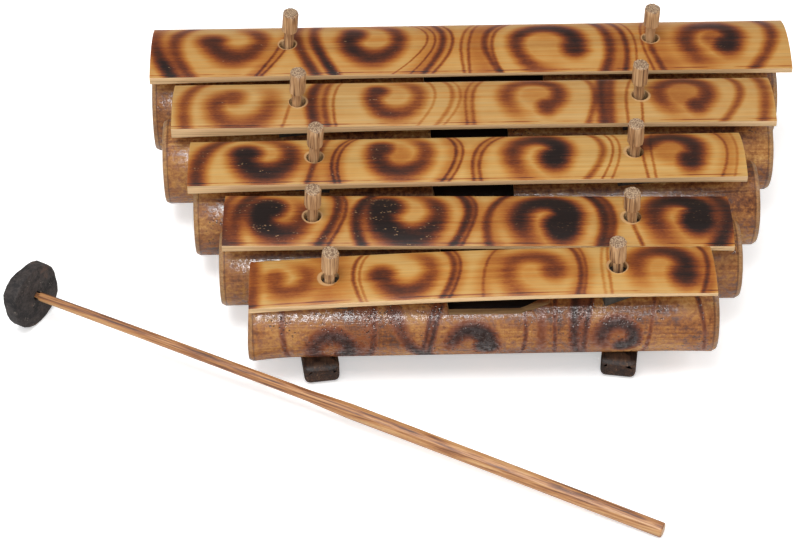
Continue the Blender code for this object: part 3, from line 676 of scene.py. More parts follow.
# %% Key material
# Each curl: its middle along and across, then the group's numbers in their order, the turn in
# degrees and the lengths in millimetres.
CURLS = {
    "bar_1": (
        (-88, 134, 184, 12.5, 12.5, 11.5, 8, 0.8, 0.72, 0.75, 0),
        (-18, 132, 142, 10.5, 17, 11, 7.5, 0.95, 0.82, 0.72, 0.08),
        (74, 127.5, -18, 14, 18, 10.5, 7, 0.9, 0.82, 0.72, 0.06),
        (161, 130, -45, 8, 18, 12, 9.5, 0.95, 0.85, 0.72, 0.35),
    ),
    "bar_2": (
        (-88, 83, 95, 6, 21, 11, 9, 0.95, 0.52, 0.8, 0),
        (-8.5, 86, 138, 8.5, 17, 9.5, 7, 0.95, 0.68, 0.62, 0.06),
        (66, 86, -70, 9.5, 18, 9, 8, 0.97, 0.6, 0.78, 0.12),
        (140.5, 86, -60, 10.5, 14.5, 9.5, 9.5, 0.98, 0.66, 0.78, 0.25),
    ),
    "bar_3": (
        (-71.5, 43, 165, 9.5, 15.5, 13, 8.5, 0.92, 0.95, 0.62, 0.08),
        (-7, 43, 145, 8.5, 17, 11, 8, 0.92, 0.8, 0.65, 0.25),
        (65.5, 43, -45, 7, 17.5, 12.5, 9, 0.92, 0.98, 0.6, 0),
        (129.5, 43, -42, 10.5, 12.5, 11.5, 10.5, 0.72, 0.85, 0.85, 0.25),
    ),
    "bar_4": (
        (-64, 3, 130, 7.5, 14, 14, 8.5, 0.92, 1.1, 0.5, 0.1),
        (-3, 3, 150, 12, 17, 14.5, 8, 0.92, 1.1, 0.58, 0.05),
        (65, 0, -45, 8.5, 15.5, 14, 11, 0.92, 1.25, 0.62, 0.1),
        (130, 1.5, -37, 8.5, 16.5, 14, 11.5, 0.92, 1.15, 0.55, 0.15),
    ),
    "bar_5": (
        (-60, -37, 165, 5.5, 11, 9, 8, 0.88, 0.52, 0.8, 0),
        (-4.5, -35, 190, 11, 13.5, 10, 8, 0.8, 0.7, 0.62, 0),
        (56, -38, 5, 9.5, 15, 11, 9, 0.85, 0.56, 0.72, 0.08),
        (117, -36.5, -30, 10, 14, 12, 9.5, 0.8, 0.85, 0.6, 0.12),
    ),
}
# Each band: where it runs 14 mm behind the bar's middle line, on it and 14 mm before it, then
# its half width and its force behind and before.
LINE_GAP = 14.0
BANDS = {
    "bar_1": (
        (-115.5, -119.5, -115.5, 5.5, 0.5, 0.6), (-129, -129, -124, 6, 0.35, 0.9),
        (-61, -65, -72.5, 1.2, 0.2, 0.5), (-57, -60.5, -69, 1.2, 0.2, 0.5),
        (-60, -64, -72, 6, 0.2, 0.3), (-47, -46.5, -41, 4.5, 0.5, 0.85),
        (-56, -55.5, -50.5, 4.5, 0.4, 0.7), (9, 11.5, 2, 0.9, 0.35, 0.4),
        (13, 15.5, 9, 0.9, 0.35, 0.4), (18, 19.5, 14.5, 2.4, 0.55, 0.55),
        (22.5, 24.5, 19.5, 1.3, 0.45, 0.45), (15, 18, 12, 10, 0.22, 0.25),
        (33, 29, 28.5, 1.2, 0.3, 0.4), (36.5, 33, 32, 1.2, 0.3, 0.4),
        (46, 41, 43.5, 2.6, 0.5, 0.5), (50, 45, 46, 1.5, 0.4, 0.4),
        (43, 37, 38, 10, 0.25, 0.25), (101.5, 105, 104, 4, 0.55, 0.6),
        (110, 113.5, 113.5, 2.2, 0.5, 0.5), (115, 118.5, 118.5, 1, 0.35, 0.3),
        (108, 111, 110, 9, 0.2, 0.25), (124, 122.5, 124.5, 1.1, 0.3, 0.35),
        (128.5, 126.5, 129, 2.4, 0.3, 0.45), (130, 130, 132, 12, 0.15, 0.22),
        (188.5, 190, 184.5, 5, 0.6, 0.55),
    ),
    "bar_2": (
        (-107, -112.5, -112.5, 5, 0.45, 0.5), (-57, -58, -62, 1.2, 0.2, 0.3),
        (-46, -48.5, -47.5, 4, 0.65, 0.62), (-39.5, -42, -41, 2.2, 0.35, 0.4),
        (-34.5, -37.5, -37, 1.1, 0.3, 0.35), (-43, -45, -44, 8, 0.2, 0.25),
        (12.5, 14, 8, 1.2, 0.25, 0.2), (21, 23, 17, 1.8, 0.3, 0.25),
        (25, 27, 21, 1.1, 0.2, 0.2), (37, 33, 32.5, 1.4, 0.3, 0.3),
        (33, 29.5, 29, 1.1, 0.2, 0.3), (33, 30, 30, 6, 0.12, 0.22),
        (92.5, 94.5, 91.5, 2.4, 0.35, 0.4), (99.5, 98, 97.5, 3.8, 0.68, 0.55),
        (104, 102.5, 101.5, 3, 0.45, 0.4), (101, 100, 99, 9, 0.2, 0.22),
        (113.5, 110.5, 109.5, 1.2, 0.3, 0.35), (118, 117.5, 117, 1, 0.2, 0.4),
        (165.5, 168, 162, 3.2, 0.45, 0.4), (179, 180, 178.5, 4.2, 0.45, 0.45),
    ),
    "bar_3": (
        (-94.5, -102, -104.5, 7, 0.62, 0.72), (-41, -45, -49.5, 2, 0.3, 0.5),
        (-43, -46, -48, 6, 0.25, 0.3), (-31, -37.5, -37.5, 1.1, 0.45, 0.5),
        (-28, -34.5, -35, 1.1, 0.4, 0.45), (-30, -36, -37, 6, 0.28, 0.42),
        (21, 23, 17, 1.3, 0.45, 0.5), (24.5, 26.5, 20.5, 1.1, 0.35, 0.45),
        (21, 23, 17, 6, 0.22, 0.3), (40, 32.5, 30.5, 1.3, 0.4, 0.4),
        (44.5, 36, 34, 1.3, 0.35, 0.4), (43, 34, 32, 6, 0.22, 0.25),
        (91.5, 94.5, 88.5, 2.8, 0.45, 0.42), (98, 99.5, 95, 1, 0.4, 0.35),
        (101.5, 103, 99.5, 1, 0.3, 0.3), (115.5, 114, 115, 1.1, 0.3, 0.4),
        (120, 118.5, 119, 1, 0.2, 0.35), (153, 156, 153.5, 1.1, 0.35, 0.3),
        (154, 157, 155, 6, 0.25, 0.15), (160, 161, 159, 1, 0.2, 0.2),
    ),
    "bar_4": (
        (-79.5, -84.5, -85, 6, 0.7, 0.6), (-88, -91, -90, 4, 0.5, 0.7),
        (-35.5, -36.5, -43, 2.8, 0.55, 0.55), (-32, -32, -38, 1.3, 0.4, 0.45),
        (-35, -35, -42, 7, 0.35, 0.4), (-22, -26.5, -25, 4, 0.78, 0.8),
        (25.5, 27, 21, 3, 0.7, 0.65), (29.5, 30.5, 25, 1.4, 0.45, 0.45),
        (27, 28.5, 22, 7, 0.32, 0.32), (43, 36.5, 35.5, 2.8, 0.6, 0.48),
        (44, 38, 37, 7, 0.32, 0.3), (87.5, 91.5, 90.5, 3.8, 0.75, 0.65),
        (92.5, 96, 94.5, 2.2, 0.5, 0.45), (89, 93, 92, 7, 0.3, 0.32),
        (104, 103.5, 106.5, 1.6, 0.3, 0.5), (148.5, 152, 148.5, 7, 0.75, 0.85),
    ),
    "bar_5": (
        (-76, -75, -76, 5, 0.45, 0.6), (-40, -40, -42, 13, 0.28, 0.28),
        (-25, -28.5, -25.5, 1.4, 0.5, 0.4), (-22, -25.5, -23, 1, 0.3, 0.25),
        (16.5, 18.5, 14, 2.2, 0.48, 0.48), (20, 21.5, 17.5, 1.2, 0.38, 0.42),
        (18, 20, 16, 6, 0.25, 0.3), (38, 33, 31.5, 1.1, 0.3, 0.25),
        (39, 34, 32, 6, 0.25, 0.22), (75, 78, 76.5, 1.8, 0.48, 0.42),
        (78.5, 80.5, 79, 1.1, 0.3, 0.3), (76, 79, 77, 6, 0.25, 0.3),
        (91.5, 90.5, 91, 1.1, 0.35, 0.3), (89, 87.5, 88, 1.1, 0.25, 0.2),
        (135, 137, 134, 1.6, 0.5, 0.45), (136, 138, 136, 5, 0.3, 0.35),
    ),
}
MIDDLE_LINES = {"bar_1": 130.0, "bar_2": 85.5, "bar_3": 43.0, "bar_4": 2.0, "bar_5": -35.5}
BURN_STOPS = (
    (0.0, (0.60, 0.388, 0.148)),
    (0.12, (0.55, 0.312, 0.095)),
    (0.24, (0.48, 0.210, 0.046)),
    (0.36, (0.385, 0.135, 0.026)),
    (0.48, (0.270, 0.072, 0.016)),
    (0.60, (0.160, 0.039, 0.013)),
    (0.74, (0.072, 0.022, 0.012)),
    (0.88, (0.026, 0.012, 0.010)),
    (1.0, (0.015, 0.009, 0.008)),
)
TINTS = {"bar_1": (0.97, 0.95, 0.94), "bar_2": (0.96, 0.98, 1.08), "bar_3": (1.0, 1.0, 0.98),
         "bar_4": (0.97, 0.95, 0.93), "bar_5": (1.02, 1.01, 0.97)}
FRAY = 3.4 * MM
DRIFT = 3.0 * MM
BASES = {"bar_1": 0.13, "bar_2": 0.12, "bar_3": 0.10, "bar_4": 0.10, "bar_5": 0.10}
BAND_FRAY = 0.35
SPECKS = 0.30
EDGE_LINE = 1.3


def fray(recipe, place):
    """How far the fibres carry the edge of a burn along themselves, in metres."""
    streaks = recipe.noise(stretched(recipe, place, (45.0, 1500.0, 1500.0)), 1.0, 2.0, 0.6)
    return recipe.math("MULTIPLY", recipe.math("SUBTRACT", streaks, 0.5), FRAY)


def drifted(recipe, place):
    """The place moved a little, so that no curl is a perfect figure."""
    wobble = recipe.node("ShaderNodeTexNoise")
    recipe.link(place, wobble.inputs["Vector"])
    wobble.inputs["Scale"].default_value = 24.0
    wobble.inputs["Detail"].default_value = 1.5
    drift = recipe.vector("SUBTRACT", wobble.outputs["Color"], (0.5, 0.5, 0.5))
    return recipe.vector("ADD", place, recipe.vector("MULTIPLY", drift, (DRIFT, DRIFT, 0.0)))


def spared(recipe, group, before, place, carried, centre, numbers):
    """What one more curl or band leaves unburnt of what was unburnt before."""
    made = recipe.node("ShaderNodeGroup", node_tree=group)
    recipe.link(place, made.inputs["Place"])
    recipe.link(carried, made.inputs["Fray"])
    made.inputs["Centre"].default_value = (centre[0] * MM, centre[1] * MM, 0.0)
    for name, value in numbers:
        made.inputs[name].default_value = value
    return recipe.math("MULTIPLY", recipe.math("SUBTRACT", 1.0, made.outputs["Burn"]), before)


def burnt_pattern(recipe, place, carried, middle_line, curls, bands):
    """How far each place is burnt, from 0 to 1, by all curls and bands together."""
    left = 1.0
    for x, y, turn, *numbers in curls:
        named = zip(CURL_NUMBERS, (math.radians(turn), *numbers))
        left = spared(recipe, CURL, left, place, carried, (x, y), named)
    carried = recipe.math("MULTIPLY", carried, BAND_FRAY)
    for behind, middle, before, *numbers in bands:
        lean = (behind - before) / (2.0 * LINE_GAP)
        bend = ((behind + before) / 2.0 - middle) / LINE_GAP ** 2
        named = zip(BAND_NUMBERS, (middle, lean, bend, *numbers))
        left = spared(recipe, BAND, left, place, carried, (0.0, middle_line), named)
    return recipe.math("SUBTRACT", 1.0, left)


def pale_pits(recipe, place, share):
    """Small pale dashes along the fibres, in patches."""
    cells = recipe.node("ShaderNodeTexVoronoi", feature="F1")
    recipe.link(stretched(recipe, place, (480.0, 1150.0, 480.0)), cells.inputs["Vector"])
    cells.inputs["Scale"].default_value = 1.0
    dots = recipe.smooth(cells.outputs["Distance"], 0.32, 0.12)
    chosen = recipe.smooth(recipe.noise(stretched(recipe, place, (70.0, 420.0, 70.0)), 1.0, 3.0),
                           0.70 - 0.2 * share, 0.74 - 0.2 * share)
    return recipe.math("MULTIPLY", dots, chosen)


def raw_bamboo(recipe, place, dark, light):
    lines = recipe.noise(stretched(recipe, place, (6.0, 1100.0, 1100.0)), 1.0, 3.0, 0.65)
    return recipe.ramp(lines, ((0.32, dark), (0.52, light), (0.75, tuple(1.12 * part for part in light))))


def key_material(name, pits):
    mat, shader, recipe = new_material(f"burnt_{name}", 0.46, 0.2)
    place = object_place(recipe)
    burn = burnt_pattern(recipe, drifted(recipe, place), fray(recipe, place), MIDDLE_LINES[name],
                         CURLS[name], BANDS[name])
    fibre = recipe.noise(stretched(recipe, place, (35.0, 1300.0, 1300.0)), 1.0, 4.0, 0.65)
    cloud = recipe.noise(place, 48.0, 3.0)
    streak = recipe.noise(stretched(recipe, place, (10.0, 500.0, 500.0)), 1.0, 3.0, 0.6)
    rough = recipe.math("ADD", recipe.math("SUBTRACT", fibre, 0.5), recipe.math("SUBTRACT", streak, 0.5))
    strength = recipe.math("MULTIPLY_ADD", burn, 1.0 - BASES[name], BASES[name])
    strength = recipe.math("MULTIPLY_ADD", rough, 0.34, strength)
    specks = recipe.noise(stretched(recipe, place, (520.0, 1500.0, 1500.0)), 1.0, 3.0, 0.7)
    specks = recipe.math("MULTIPLY", recipe.math("SUBTRACT", specks, 0.5), recipe.smooth(burn, 0.05, 0.5))
    strength = recipe.math("MULTIPLY_ADD", specks, SPECKS, strength)
    strength = recipe.math("MULTIPLY_ADD", recipe.math("SUBTRACT", cloud, 0.5), 0.22, strength)
    a, b, c = front_curve(name)
    parts = recipe.node("ShaderNodeSeparateXYZ")
    recipe.link(place, parts.inputs[0])
    edge = recipe.math("MULTIPLY_ADD", recipe.math("MULTIPLY_ADD", parts.outputs["X"], c, b), parts.outputs["X"], a)
    depth = recipe.math("DIVIDE", recipe.math("SUBTRACT", parts.outputs["Y"], edge), MM)
    edge_line = recipe.smooth(recipe.math("ABSOLUTE", recipe.math("SUBTRACT", depth, EDGE_LINE)), 0.42, 0.12)
    broken = recipe.smooth(recipe.noise(stretched(recipe, place, (60.0, 5.0, 5.0)), 1.0, 3.0), 0.35, 0.62)
    strength = recipe.math("MULTIPLY_ADD", recipe.math("MULTIPLY", edge_line, broken), 0.32, strength)
    skin = recipe.ramp(strength, BURN_STOPS)
    dots = recipe.math("MULTIPLY", pale_pits(recipe, place, pits), recipe.smooth(strength, 0.40, 0.75))
    fewer = recipe.smooth(recipe.node_part(place, "X"), 0.06, -0.01)
    dots = recipe.math("MULTIPLY", dots, recipe.math("MULTIPLY_ADD", fewer, 0.8, 0.2))
    skin = recipe.mix(recipe.math("MULTIPLY", dots, 0.75), skin, (0.50, 0.29, 0.15))
    grain = recipe.ramp(fibre, ((0.3, (0.78, 0.74, 0.68)), (0.7, (1.05, 1.04, 1.02))))
    skin = recipe.mix(1.0, skin, grain, "MULTIPLY")
    skin = recipe.mix(1.0, skin, TINTS[name], "MULTIPLY")
    for side in ("left", "right"):
        middle = hole_middle(name, f"peg_{side}_{name[-1]}")
        off = recipe.vector("SUBTRACT", place, (middle.x, middle.y, 0.0))
        off = recipe.vector("MULTIPLY", off, (1.0 / MM, 1.0 / MM, 0.0))
        away = recipe.node("ShaderNodeVectorMath", operation="LENGTH")
        recipe.link(off, away.inputs[0])
        rim = recipe.smooth(recipe.math("ADD", away.outputs["Value"], recipe.math("MULTIPLY", cloud, 1.2)), 6.0, 5.2)
        skin = recipe.mix(recipe.math("MULTIPLY", rim, 0.75), skin, (0.58, 0.36, 0.17))
    geometry = recipe.node("ShaderNodeNewGeometry")
    facing = recipe.node("ShaderNodeSeparateXYZ")
    recipe.link(geometry.outputs["True Normal"], facing.inputs[0])
    raw = raw_bamboo(recipe, place, (0.46, 0.29, 0.14), (0.74, 0.50, 0.27))
    # Faces that point down get a darker copy of the raw wood: painted shade on the bar's underside.
    raw_in_painted_shade = raw_bamboo(recipe, place, (0.42, 0.27, 0.13), (0.58, 0.40, 0.22))
    upward = recipe.smooth(facing.outputs["Z"], 0.42, 0.62)
    downward = recipe.smooth(facing.outputs["Z"], -0.3, -0.5)
    colour = recipe.mix(upward, raw, skin)
    colour = recipe.mix(downward, colour, raw_in_painted_shade)
    bundles = recipe.node("ShaderNodeTexVoronoi", feature="F1")
    recipe.link(stretched(recipe, place, (0.0, 1500.0, 1500.0)), bundles.inputs["Vector"])
    bundles.inputs["Scale"].default_value = 1.0
    sawn = recipe.ramp(bundles.outputs["Distance"], ((0.15, (0.16, 0.08, 0.03)), (0.5, (0.46, 0.29, 0.14))))
    endward = recipe.smooth(recipe.math("ABSOLUTE", facing.outputs["X"]), 0.6, 0.8)
    colour = recipe.mix(endward, colour, sawn)
    recipe.link(colour, shader.inputs["Base Color"])
    gloss = recipe.math("MULTIPLY_ADD", recipe.math("SUBTRACT", cloud, 0.5), 0.25, 0.46)
    recipe.link(recipe.math("MULTIPLY_ADD", recipe.math("SUBTRACT", 1.0, upward), 0.25, gloss),
                shader.inputs["Roughness"])
    charred = recipe.smooth(strength, 0.85, 0.35)
    recipe.link(recipe.math("MULTIPLY", recipe.math("MULTIPLY", upward, 0.06), charred),
                shader.inputs["Coat Weight"])
    shader.inputs["Specular IOR Level"].default_value = 0.14
    height = recipe.math("MULTIPLY_ADD", dots, -0.8, fibre)
    recipe.link(recipe.bump(height, 0.3, 0.0004), shader.inputs["Normal"])
    return mat


def dress(node, mat):
    """Gives a piece its finish in every slot it has."""
    data = pieces[node].data
    if not data.materials:
        data.materials.append(mat)
    for i in range(len(data.materials)):
        data.materials[i] = mat


PITS = {"bar_1": 0.35, "bar_2": 0.35, "bar_3": 0.55, "bar_4": 0.85, "bar_5": 0.2}
for name, pits in PITS.items():
    dress(name, key_material(name, pits))
print("keys dressed:", len(PITS))

# %% [markdown]
# ## The tubes
# The whole culm, stained and varnished: yellowish brown with darker clouds, many small dark
# pits, and a gloss that the pits break up. The pattern should run round the tube without
# stretching, so each place is unrolled first: its distance along the axis, and its way round
# it. The front tube was burnt too, with curls like those of the keys. Where the skin was cut,
# at the mouth and the ends, the raw wood is paler, and the chamber inside is painted near
# black as painted shade.

# %% Unrolling a tube
RIM_REACH = 1.0 * MM


def tube_axis(node):
    """Both ends of a tube's axis, each the middle of an end's rim."""
    corners = numpy.array([vertex.co[:] for vertex in nodes[node].data.vertices])
    ends = []
    for end in (corners[:, 0].min(), corners[:, 0].max()):
        rim = corners[numpy.abs(corners[:, 0] - end) < RIM_REACH]
        ends.append((rim.min(axis=0) + rim.max(axis=0)) / 2.0)
    return ends


def unrolled(recipe, place, ends, radius):
    """The place as length and way round, with the direction straight out from the axis."""
    (x0, y0, z0), (x1, y1, z1) = ends
    parts = recipe.node("ShaderNodeSeparateXYZ")
    recipe.link(place, parts.inputs[0])
    y_slope, z_slope = (y1 - y0) / (x1 - x0), (z1 - z0) / (x1 - x0)
    middle_y = recipe.math("MULTIPLY_ADD", parts.outputs["X"], y_slope, y0 - y_slope * x0)
    middle_z = recipe.math("MULTIPLY_ADD", parts.outputs["X"], z_slope, z0 - z_slope * x0)
    y = recipe.math("SUBTRACT", parts.outputs["Y"], middle_y)
    z = recipe.math("SUBTRACT", parts.outputs["Z"], middle_z)
    turn = recipe.math("ARCTAN2", z, recipe.math("MULTIPLY", y, -1.0))
    flat = recipe.node("ShaderNodeCombineXYZ")
    recipe.link(parts.outputs["X"], flat.inputs["X"])
    recipe.link(recipe.math("MULTIPLY", turn, radius), flat.inputs["Y"])
    out = recipe.node("ShaderNodeCombineXYZ")
    recipe.link(y, out.inputs["Y"])
    recipe.link(z, out.inputs["Z"])
    return flat.outputs[0], recipe.vector("NORMALIZE", out.outputs[0]), parts.outputs["X"]


for key in range(1, 6):
    print(f"tube_{key}", [end.round(4).tolist() for end in tube_axis(f"tube_{key}")])

# %% Tube material
TUBE_RADII = (22.75, 21.75, 20.5, 18.6, 17.8)
TUBE_PITS = (0.45, 0.5, 0.55, 0.5, 0.85)
TUBE_TONES = ((0.95, 0.90, 0.86), (1.02, 0.96, 0.90), (1.04, 1.0, 1.0), (0.92, 0.86, 0.84), (1.06, 0.98, 0.92))
TUBE_CURLS = (
    (-38, -4, -35, 7, 11, 9.0, 7.5, 1.0, 0.95, 0.70, 0.20),
    (27, -2, -10, 7, 10, 9.0, 7.5, 0.66, 1.25, 0.60, 0.10),
    (96, 2, -80, 6, 9, 7.0, 7.5, 0.98, 1.0, 0.85, 0.25),
)
TUBE_BANDS = (
    (-62, -62, -60, 2.0, 0.40, 0.50), (-19, -19, -22, 2.2, 0.45, 0.65), (-24, -22, -25, 6.0, 0.35, 0.40),
    (-10, -5, 5, 5.0, 0.45, 0.95), (12, 8, 7, 1.6, 0.50, 0.75), (9, 5, 4, 1.3, 0.40, 0.60),
    (10, 7, 6, 5.0, 0.30, 0.40), (51, 52, 50, 1.6, 0.50, 0.65), (60, 60, 60, 4.0, 0.50, 0.35),
    (66, 66, 67, 1.6, 0.65, 0.60), (75, 75, 77, 2.6, 0.80, 0.65), (82, 80, 80, 1.6, 0.60, 0.55),
    (78, 77, 78, 7.0, 0.45, 0.35), (112, 110, 108, 1.6, 0.45, 0.40), (134, 136, 137, 1.6, 0.60, 0.45),
)
TUBE_MIDDLE_LINE = 3.0
TUBE_BURN_STOPS = (
    (0.0, (0.36, 0.180, 0.066)),
    (0.15, (0.27, 0.096, 0.026)),
    (0.35, (0.190, 0.052, 0.013)),
    (0.55, (0.120, 0.030, 0.009)),
    (0.75, (0.058, 0.014, 0.006)),
    (0.95, (0.020, 0.007, 0.005)),
)
TUBE_STOPS = (
    (0.24, (0.060, 0.017, 0.005)),
    (0.38, (0.165, 0.052, 0.012)),
    (0.50, (0.290, 0.112, 0.027)),
    (0.64, (0.420, 0.205, 0.056)),
    (0.80, (0.580, 0.370, 0.140)),
)
NODE_RING = 2.6


def tube_material(key):
    node = f"tube_{key}"
    mat, shader, recipe = new_material(f"varnished_{node}", 0.34, 0.5)
    place = object_place(recipe)
    ends = tube_axis(node)
    flat, outward, along = unrolled(recipe, place, ends, TUBE_RADII[key - 1] * MM)
    seeded = recipe.vector("ADD", flat, (0.31 * key, 0.17 * key, 0.0))
    clouds = recipe.noise(stretched(recipe, seeded, (1.0, 1.5, 1.0)), 30.0, 5.0, 0.62, 0.5)
    streaks = recipe.noise(stretched(recipe, seeded, (16.0, 700.0, 1.0)), 1.0, 4.0, 0.6)
    mottle = recipe.noise(seeded, 420.0, 4.0, 0.7)
    blend = recipe.math("MULTIPLY_ADD", recipe.math("SUBTRACT", streaks, 0.5), 0.45, clouds)
    blend = recipe.math("MULTIPLY_ADD", recipe.math("SUBTRACT", mottle, 0.5), 0.85, blend)
    colour = recipe.ramp(blend, TUBE_STOPS)
    if key == 5:
        burnt = burnt_pattern(recipe, drifted(recipe, flat), fray(recipe, flat), TUBE_MIDDLE_LINE,
                              TUBE_CURLS, TUBE_BANDS)
        burnt = recipe.math("MULTIPLY_ADD", recipe.math("SUBTRACT", clouds, 0.5), 0.55, burnt)
        burnt = recipe.math("MULTIPLY_ADD", recipe.math("SUBTRACT", mottle, 0.5), 0.55, burnt)
        colour = recipe.mix(recipe.smooth(burnt, 0.05, 0.35), colour, recipe.ramp(burnt, TUBE_BURN_STOPS))
    cells = recipe.node("ShaderNodeTexVoronoi", feature="F1")
    recipe.link(stretched(recipe, seeded, (560.0, 640.0, 1.0)), cells.inputs["Vector"])
    cells.inputs["Scale"].default_value = 1.0
    where = recipe.noise(seeded, 62.0, 3.0, 0.6)
    share = TUBE_PITS[key - 1]
    if key == 5:
        where = recipe.math("MULTIPLY_ADD", recipe.smooth(burnt, 0.2, 0.7), 0.22, recipe.math("SUBTRACT", where, 0.06))
    chosen = recipe.smooth(where, 0.70 - 0.28 * share, 0.78 - 0.28 * share)
    pits = recipe.math("MULTIPLY", recipe.smooth(cells.outputs["Distance"], 0.36, 0.16), chosen)
    colour = recipe.mix(recipe.math("MULTIPLY", pits, 0.85), colour, (0.035, 0.013, 0.006))
    left = recipe.math("SUBTRACT", along, ends[0][0])
    right = recipe.math("SUBTRACT", ends[1][0], along)
    to_end = recipe.math("DIVIDE", recipe.math("MINIMUM", left, right), MM)
    ring = recipe.smooth(recipe.math("ABSOLUTE", recipe.math("SUBTRACT", to_end, NODE_RING)), 0.55, 0.15)
    rim = recipe.smooth(to_end, 1.3, 0.3)
    darker = recipe.math("MAXIMUM", recipe.math("MULTIPLY", ring, 0.6), recipe.math("MULTIPLY", rim, 0.5))
    colour = recipe.mix(darker, colour, (0.07, 0.026, 0.010))
    facing = recipe.node("ShaderNodeVectorMath", operation="DOT_PRODUCT")
    geometry = recipe.node("ShaderNodeNewGeometry")
    recipe.link(geometry.outputs["True Normal"], facing.inputs[0])
    recipe.link(outward, facing.inputs[1])
    skin = recipe.smooth(facing.outputs["Value"], 0.84, 0.92)
    painted_chamber_shade = recipe.smooth(facing.outputs["Value"], -0.84, -0.92)
    raw = recipe.ramp(recipe.noise(stretched(recipe, place, (20.0, 1300.0, 1300.0)), 1.0, 3.0),
                      ((0.3, (0.24, 0.13, 0.055)), (0.6, (0.46, 0.29, 0.14))))
    colour = recipe.mix(skin, raw, recipe.mix(1.0, colour, TUBE_TONES[key - 1], "MULTIPLY"))
    # The inner wall, facing in towards the axis, is painted near black: painted shade inside the chamber.
    colour = recipe.mix(painted_chamber_shade, colour, (0.045, 0.020, 0.009))
    recipe.link(colour, shader.inputs["Base Color"])
    patch = recipe.smooth(mottle, 0.42, 0.58)
    recipe.link(recipe.math("MULTIPLY_ADD", patch, 0.20, 0.36), shader.inputs["Roughness"])
    coat = recipe.math("MULTIPLY", recipe.math("MULTIPLY_ADD", patch, -0.75, 0.80), skin)
    recipe.link(coat, shader.inputs["Coat Weight"])
    shader.inputs["Specular IOR Level"].default_value = 0.2
    height = recipe.math("MULTIPLY_ADD", pits, -0.8, recipe.math("MULTIPLY_ADD", mottle, 0.9, streaks))
    recipe.link(recipe.bump(height, 0.45, 0.0005), shader.inputs["Normal"])
    recipe.link(recipe.bump(height, 0.40, 0.0005), shader.inputs["Coat Normal"])
    return mat


for key in range(1, 6):
    dress(f"tube_{key}", tube_material(key))
print("tubes dressed")

# %% [markdown]
# ## Pegs, pads, rails and mallet
# The pegs are split and whittled, so dark fibres run down their sides, and their chopped tops
# are pale and broken. The pads are cut from dull rubber sheet. The rails are stained almost
# black and worn brown at their rounded ends. The mallet's stick is split bamboo, and its disc
# is cut from an old tyre: near black, with rows of cord ends and brown scuffs.

# %% Small parts' materials
PEG_LINES = (
    (0.30, (0.11, 0.045, 0.016)),
    (0.41, (0.34, 0.170, 0.068)),
    (0.56, (0.54, 0.310, 0.140)),
    (0.76, (0.68, 0.450, 0.240)),
)
PEG_TOP = (
    (0.08, (0.62, 0.46, 0.31)),
    (0.40, (0.50, 0.34, 0.20)),
    (0.70, (0.20, 0.11, 0.055)),
)


def normal_parts(recipe):
    geometry = recipe.node("ShaderNodeNewGeometry")
    parts = recipe.node("ShaderNodeSeparateXYZ")
    recipe.link(geometry.outputs["True Normal"], parts.inputs[0])
    return parts.outputs


def peg_material(seed):
    mat, shader, recipe = new_material(f"peg_bamboo_{seed}", 0.62)
    place = recipe.vector("ADD", object_place(recipe), (0.1 * seed, 0.07 * seed, 0.0))
    fibre = recipe.noise(stretched(recipe, place, (1500.0, 1500.0, 45.0)), 1.0, 3.0, 0.6)
    coarse = recipe.noise(stretched(recipe, place, (520.0, 520.0, 14.0)), 1.0, 2.0)
    blend = recipe.math("MULTIPLY_ADD", recipe.math("SUBTRACT", coarse, 0.5), 0.7, fibre)
    side = recipe.ramp(blend, PEG_LINES)
    ends = recipe.node("ShaderNodeTexVoronoi", feature="F1")
    recipe.link(stretched(recipe, place, (1500.0, 1500.0, 260.0)), ends.inputs["Vector"])
    ends.inputs["Scale"].default_value = 1.0
    top = recipe.ramp(recipe.math("MULTIPLY_ADD", coarse, 0.35, recipe.math("SUBTRACT", ends.outputs["Distance"], 0.12)),
                      PEG_TOP)
    upward = recipe.smooth(normal_parts(recipe)["Z"], 0.45, 0.7)
    recipe.link(recipe.mix(upward, side, top), shader.inputs["Base Color"])
    height = recipe.math("MULTIPLY_ADD", recipe.math("MULTIPLY", ends.outputs["Distance"], upward), -1.2, blend)
    recipe.link(recipe.bump(height, 0.6, 0.0006), shader.inputs["Normal"])
    return mat


def rail_material():
    mat, shader, recipe = new_material("stained_wood", 0.6)
    shader.inputs["Specular IOR Level"].default_value = 0.25
    place = object_place(recipe)
    fibre = recipe.noise(stretched(recipe, place, (900.0, 22.0, 900.0)), 1.0, 4.0, 0.65)
    cloud = recipe.noise(place, 130.0, 4.0, 0.6)
    colour = recipe.ramp(recipe.math("MULTIPLY_ADD", recipe.math("SUBTRACT", cloud, 0.5), 0.6, fibre), (
        (0.34, (0.012, 0.006, 0.004)), (0.52, (0.040, 0.018, 0.010)), (0.74, (0.12, 0.055, 0.026))))
    flecks = recipe.node("ShaderNodeTexVoronoi", feature="F1")
    recipe.link(place, flecks.inputs["Vector"])
    flecks.inputs["Scale"].default_value = 620.0
    flecks_seen = recipe.math("MULTIPLY", recipe.smooth(flecks.outputs["Distance"], 0.26, 0.12),
                              recipe.smooth(recipe.noise(place, 260.0, 2.0), 0.50, 0.60))
    colour = recipe.mix(recipe.math("MULTIPLY", flecks_seen, 0.6), colour, (0.30, 0.17, 0.09))
    geometry = recipe.node("ShaderNodeNewGeometry")
    worn = recipe.smooth(geometry.outputs["Pointiness"], 0.52, 0.60)
    worn = recipe.math("MULTIPLY", worn, recipe.smooth(cloud, 0.42, 0.60))
    colour = recipe.mix(recipe.math("MULTIPLY", worn, 0.6), colour, (0.20, 0.11, 0.06))
    recipe.link(colour, shader.inputs["Base Color"])
    recipe.link(recipe.math("MULTIPLY_ADD", cloud, 0.35, 0.42), shader.inputs["Roughness"])
    recipe.link(recipe.bump(fibre, 0.5, 0.0006), shader.inputs["Normal"])
    return mat


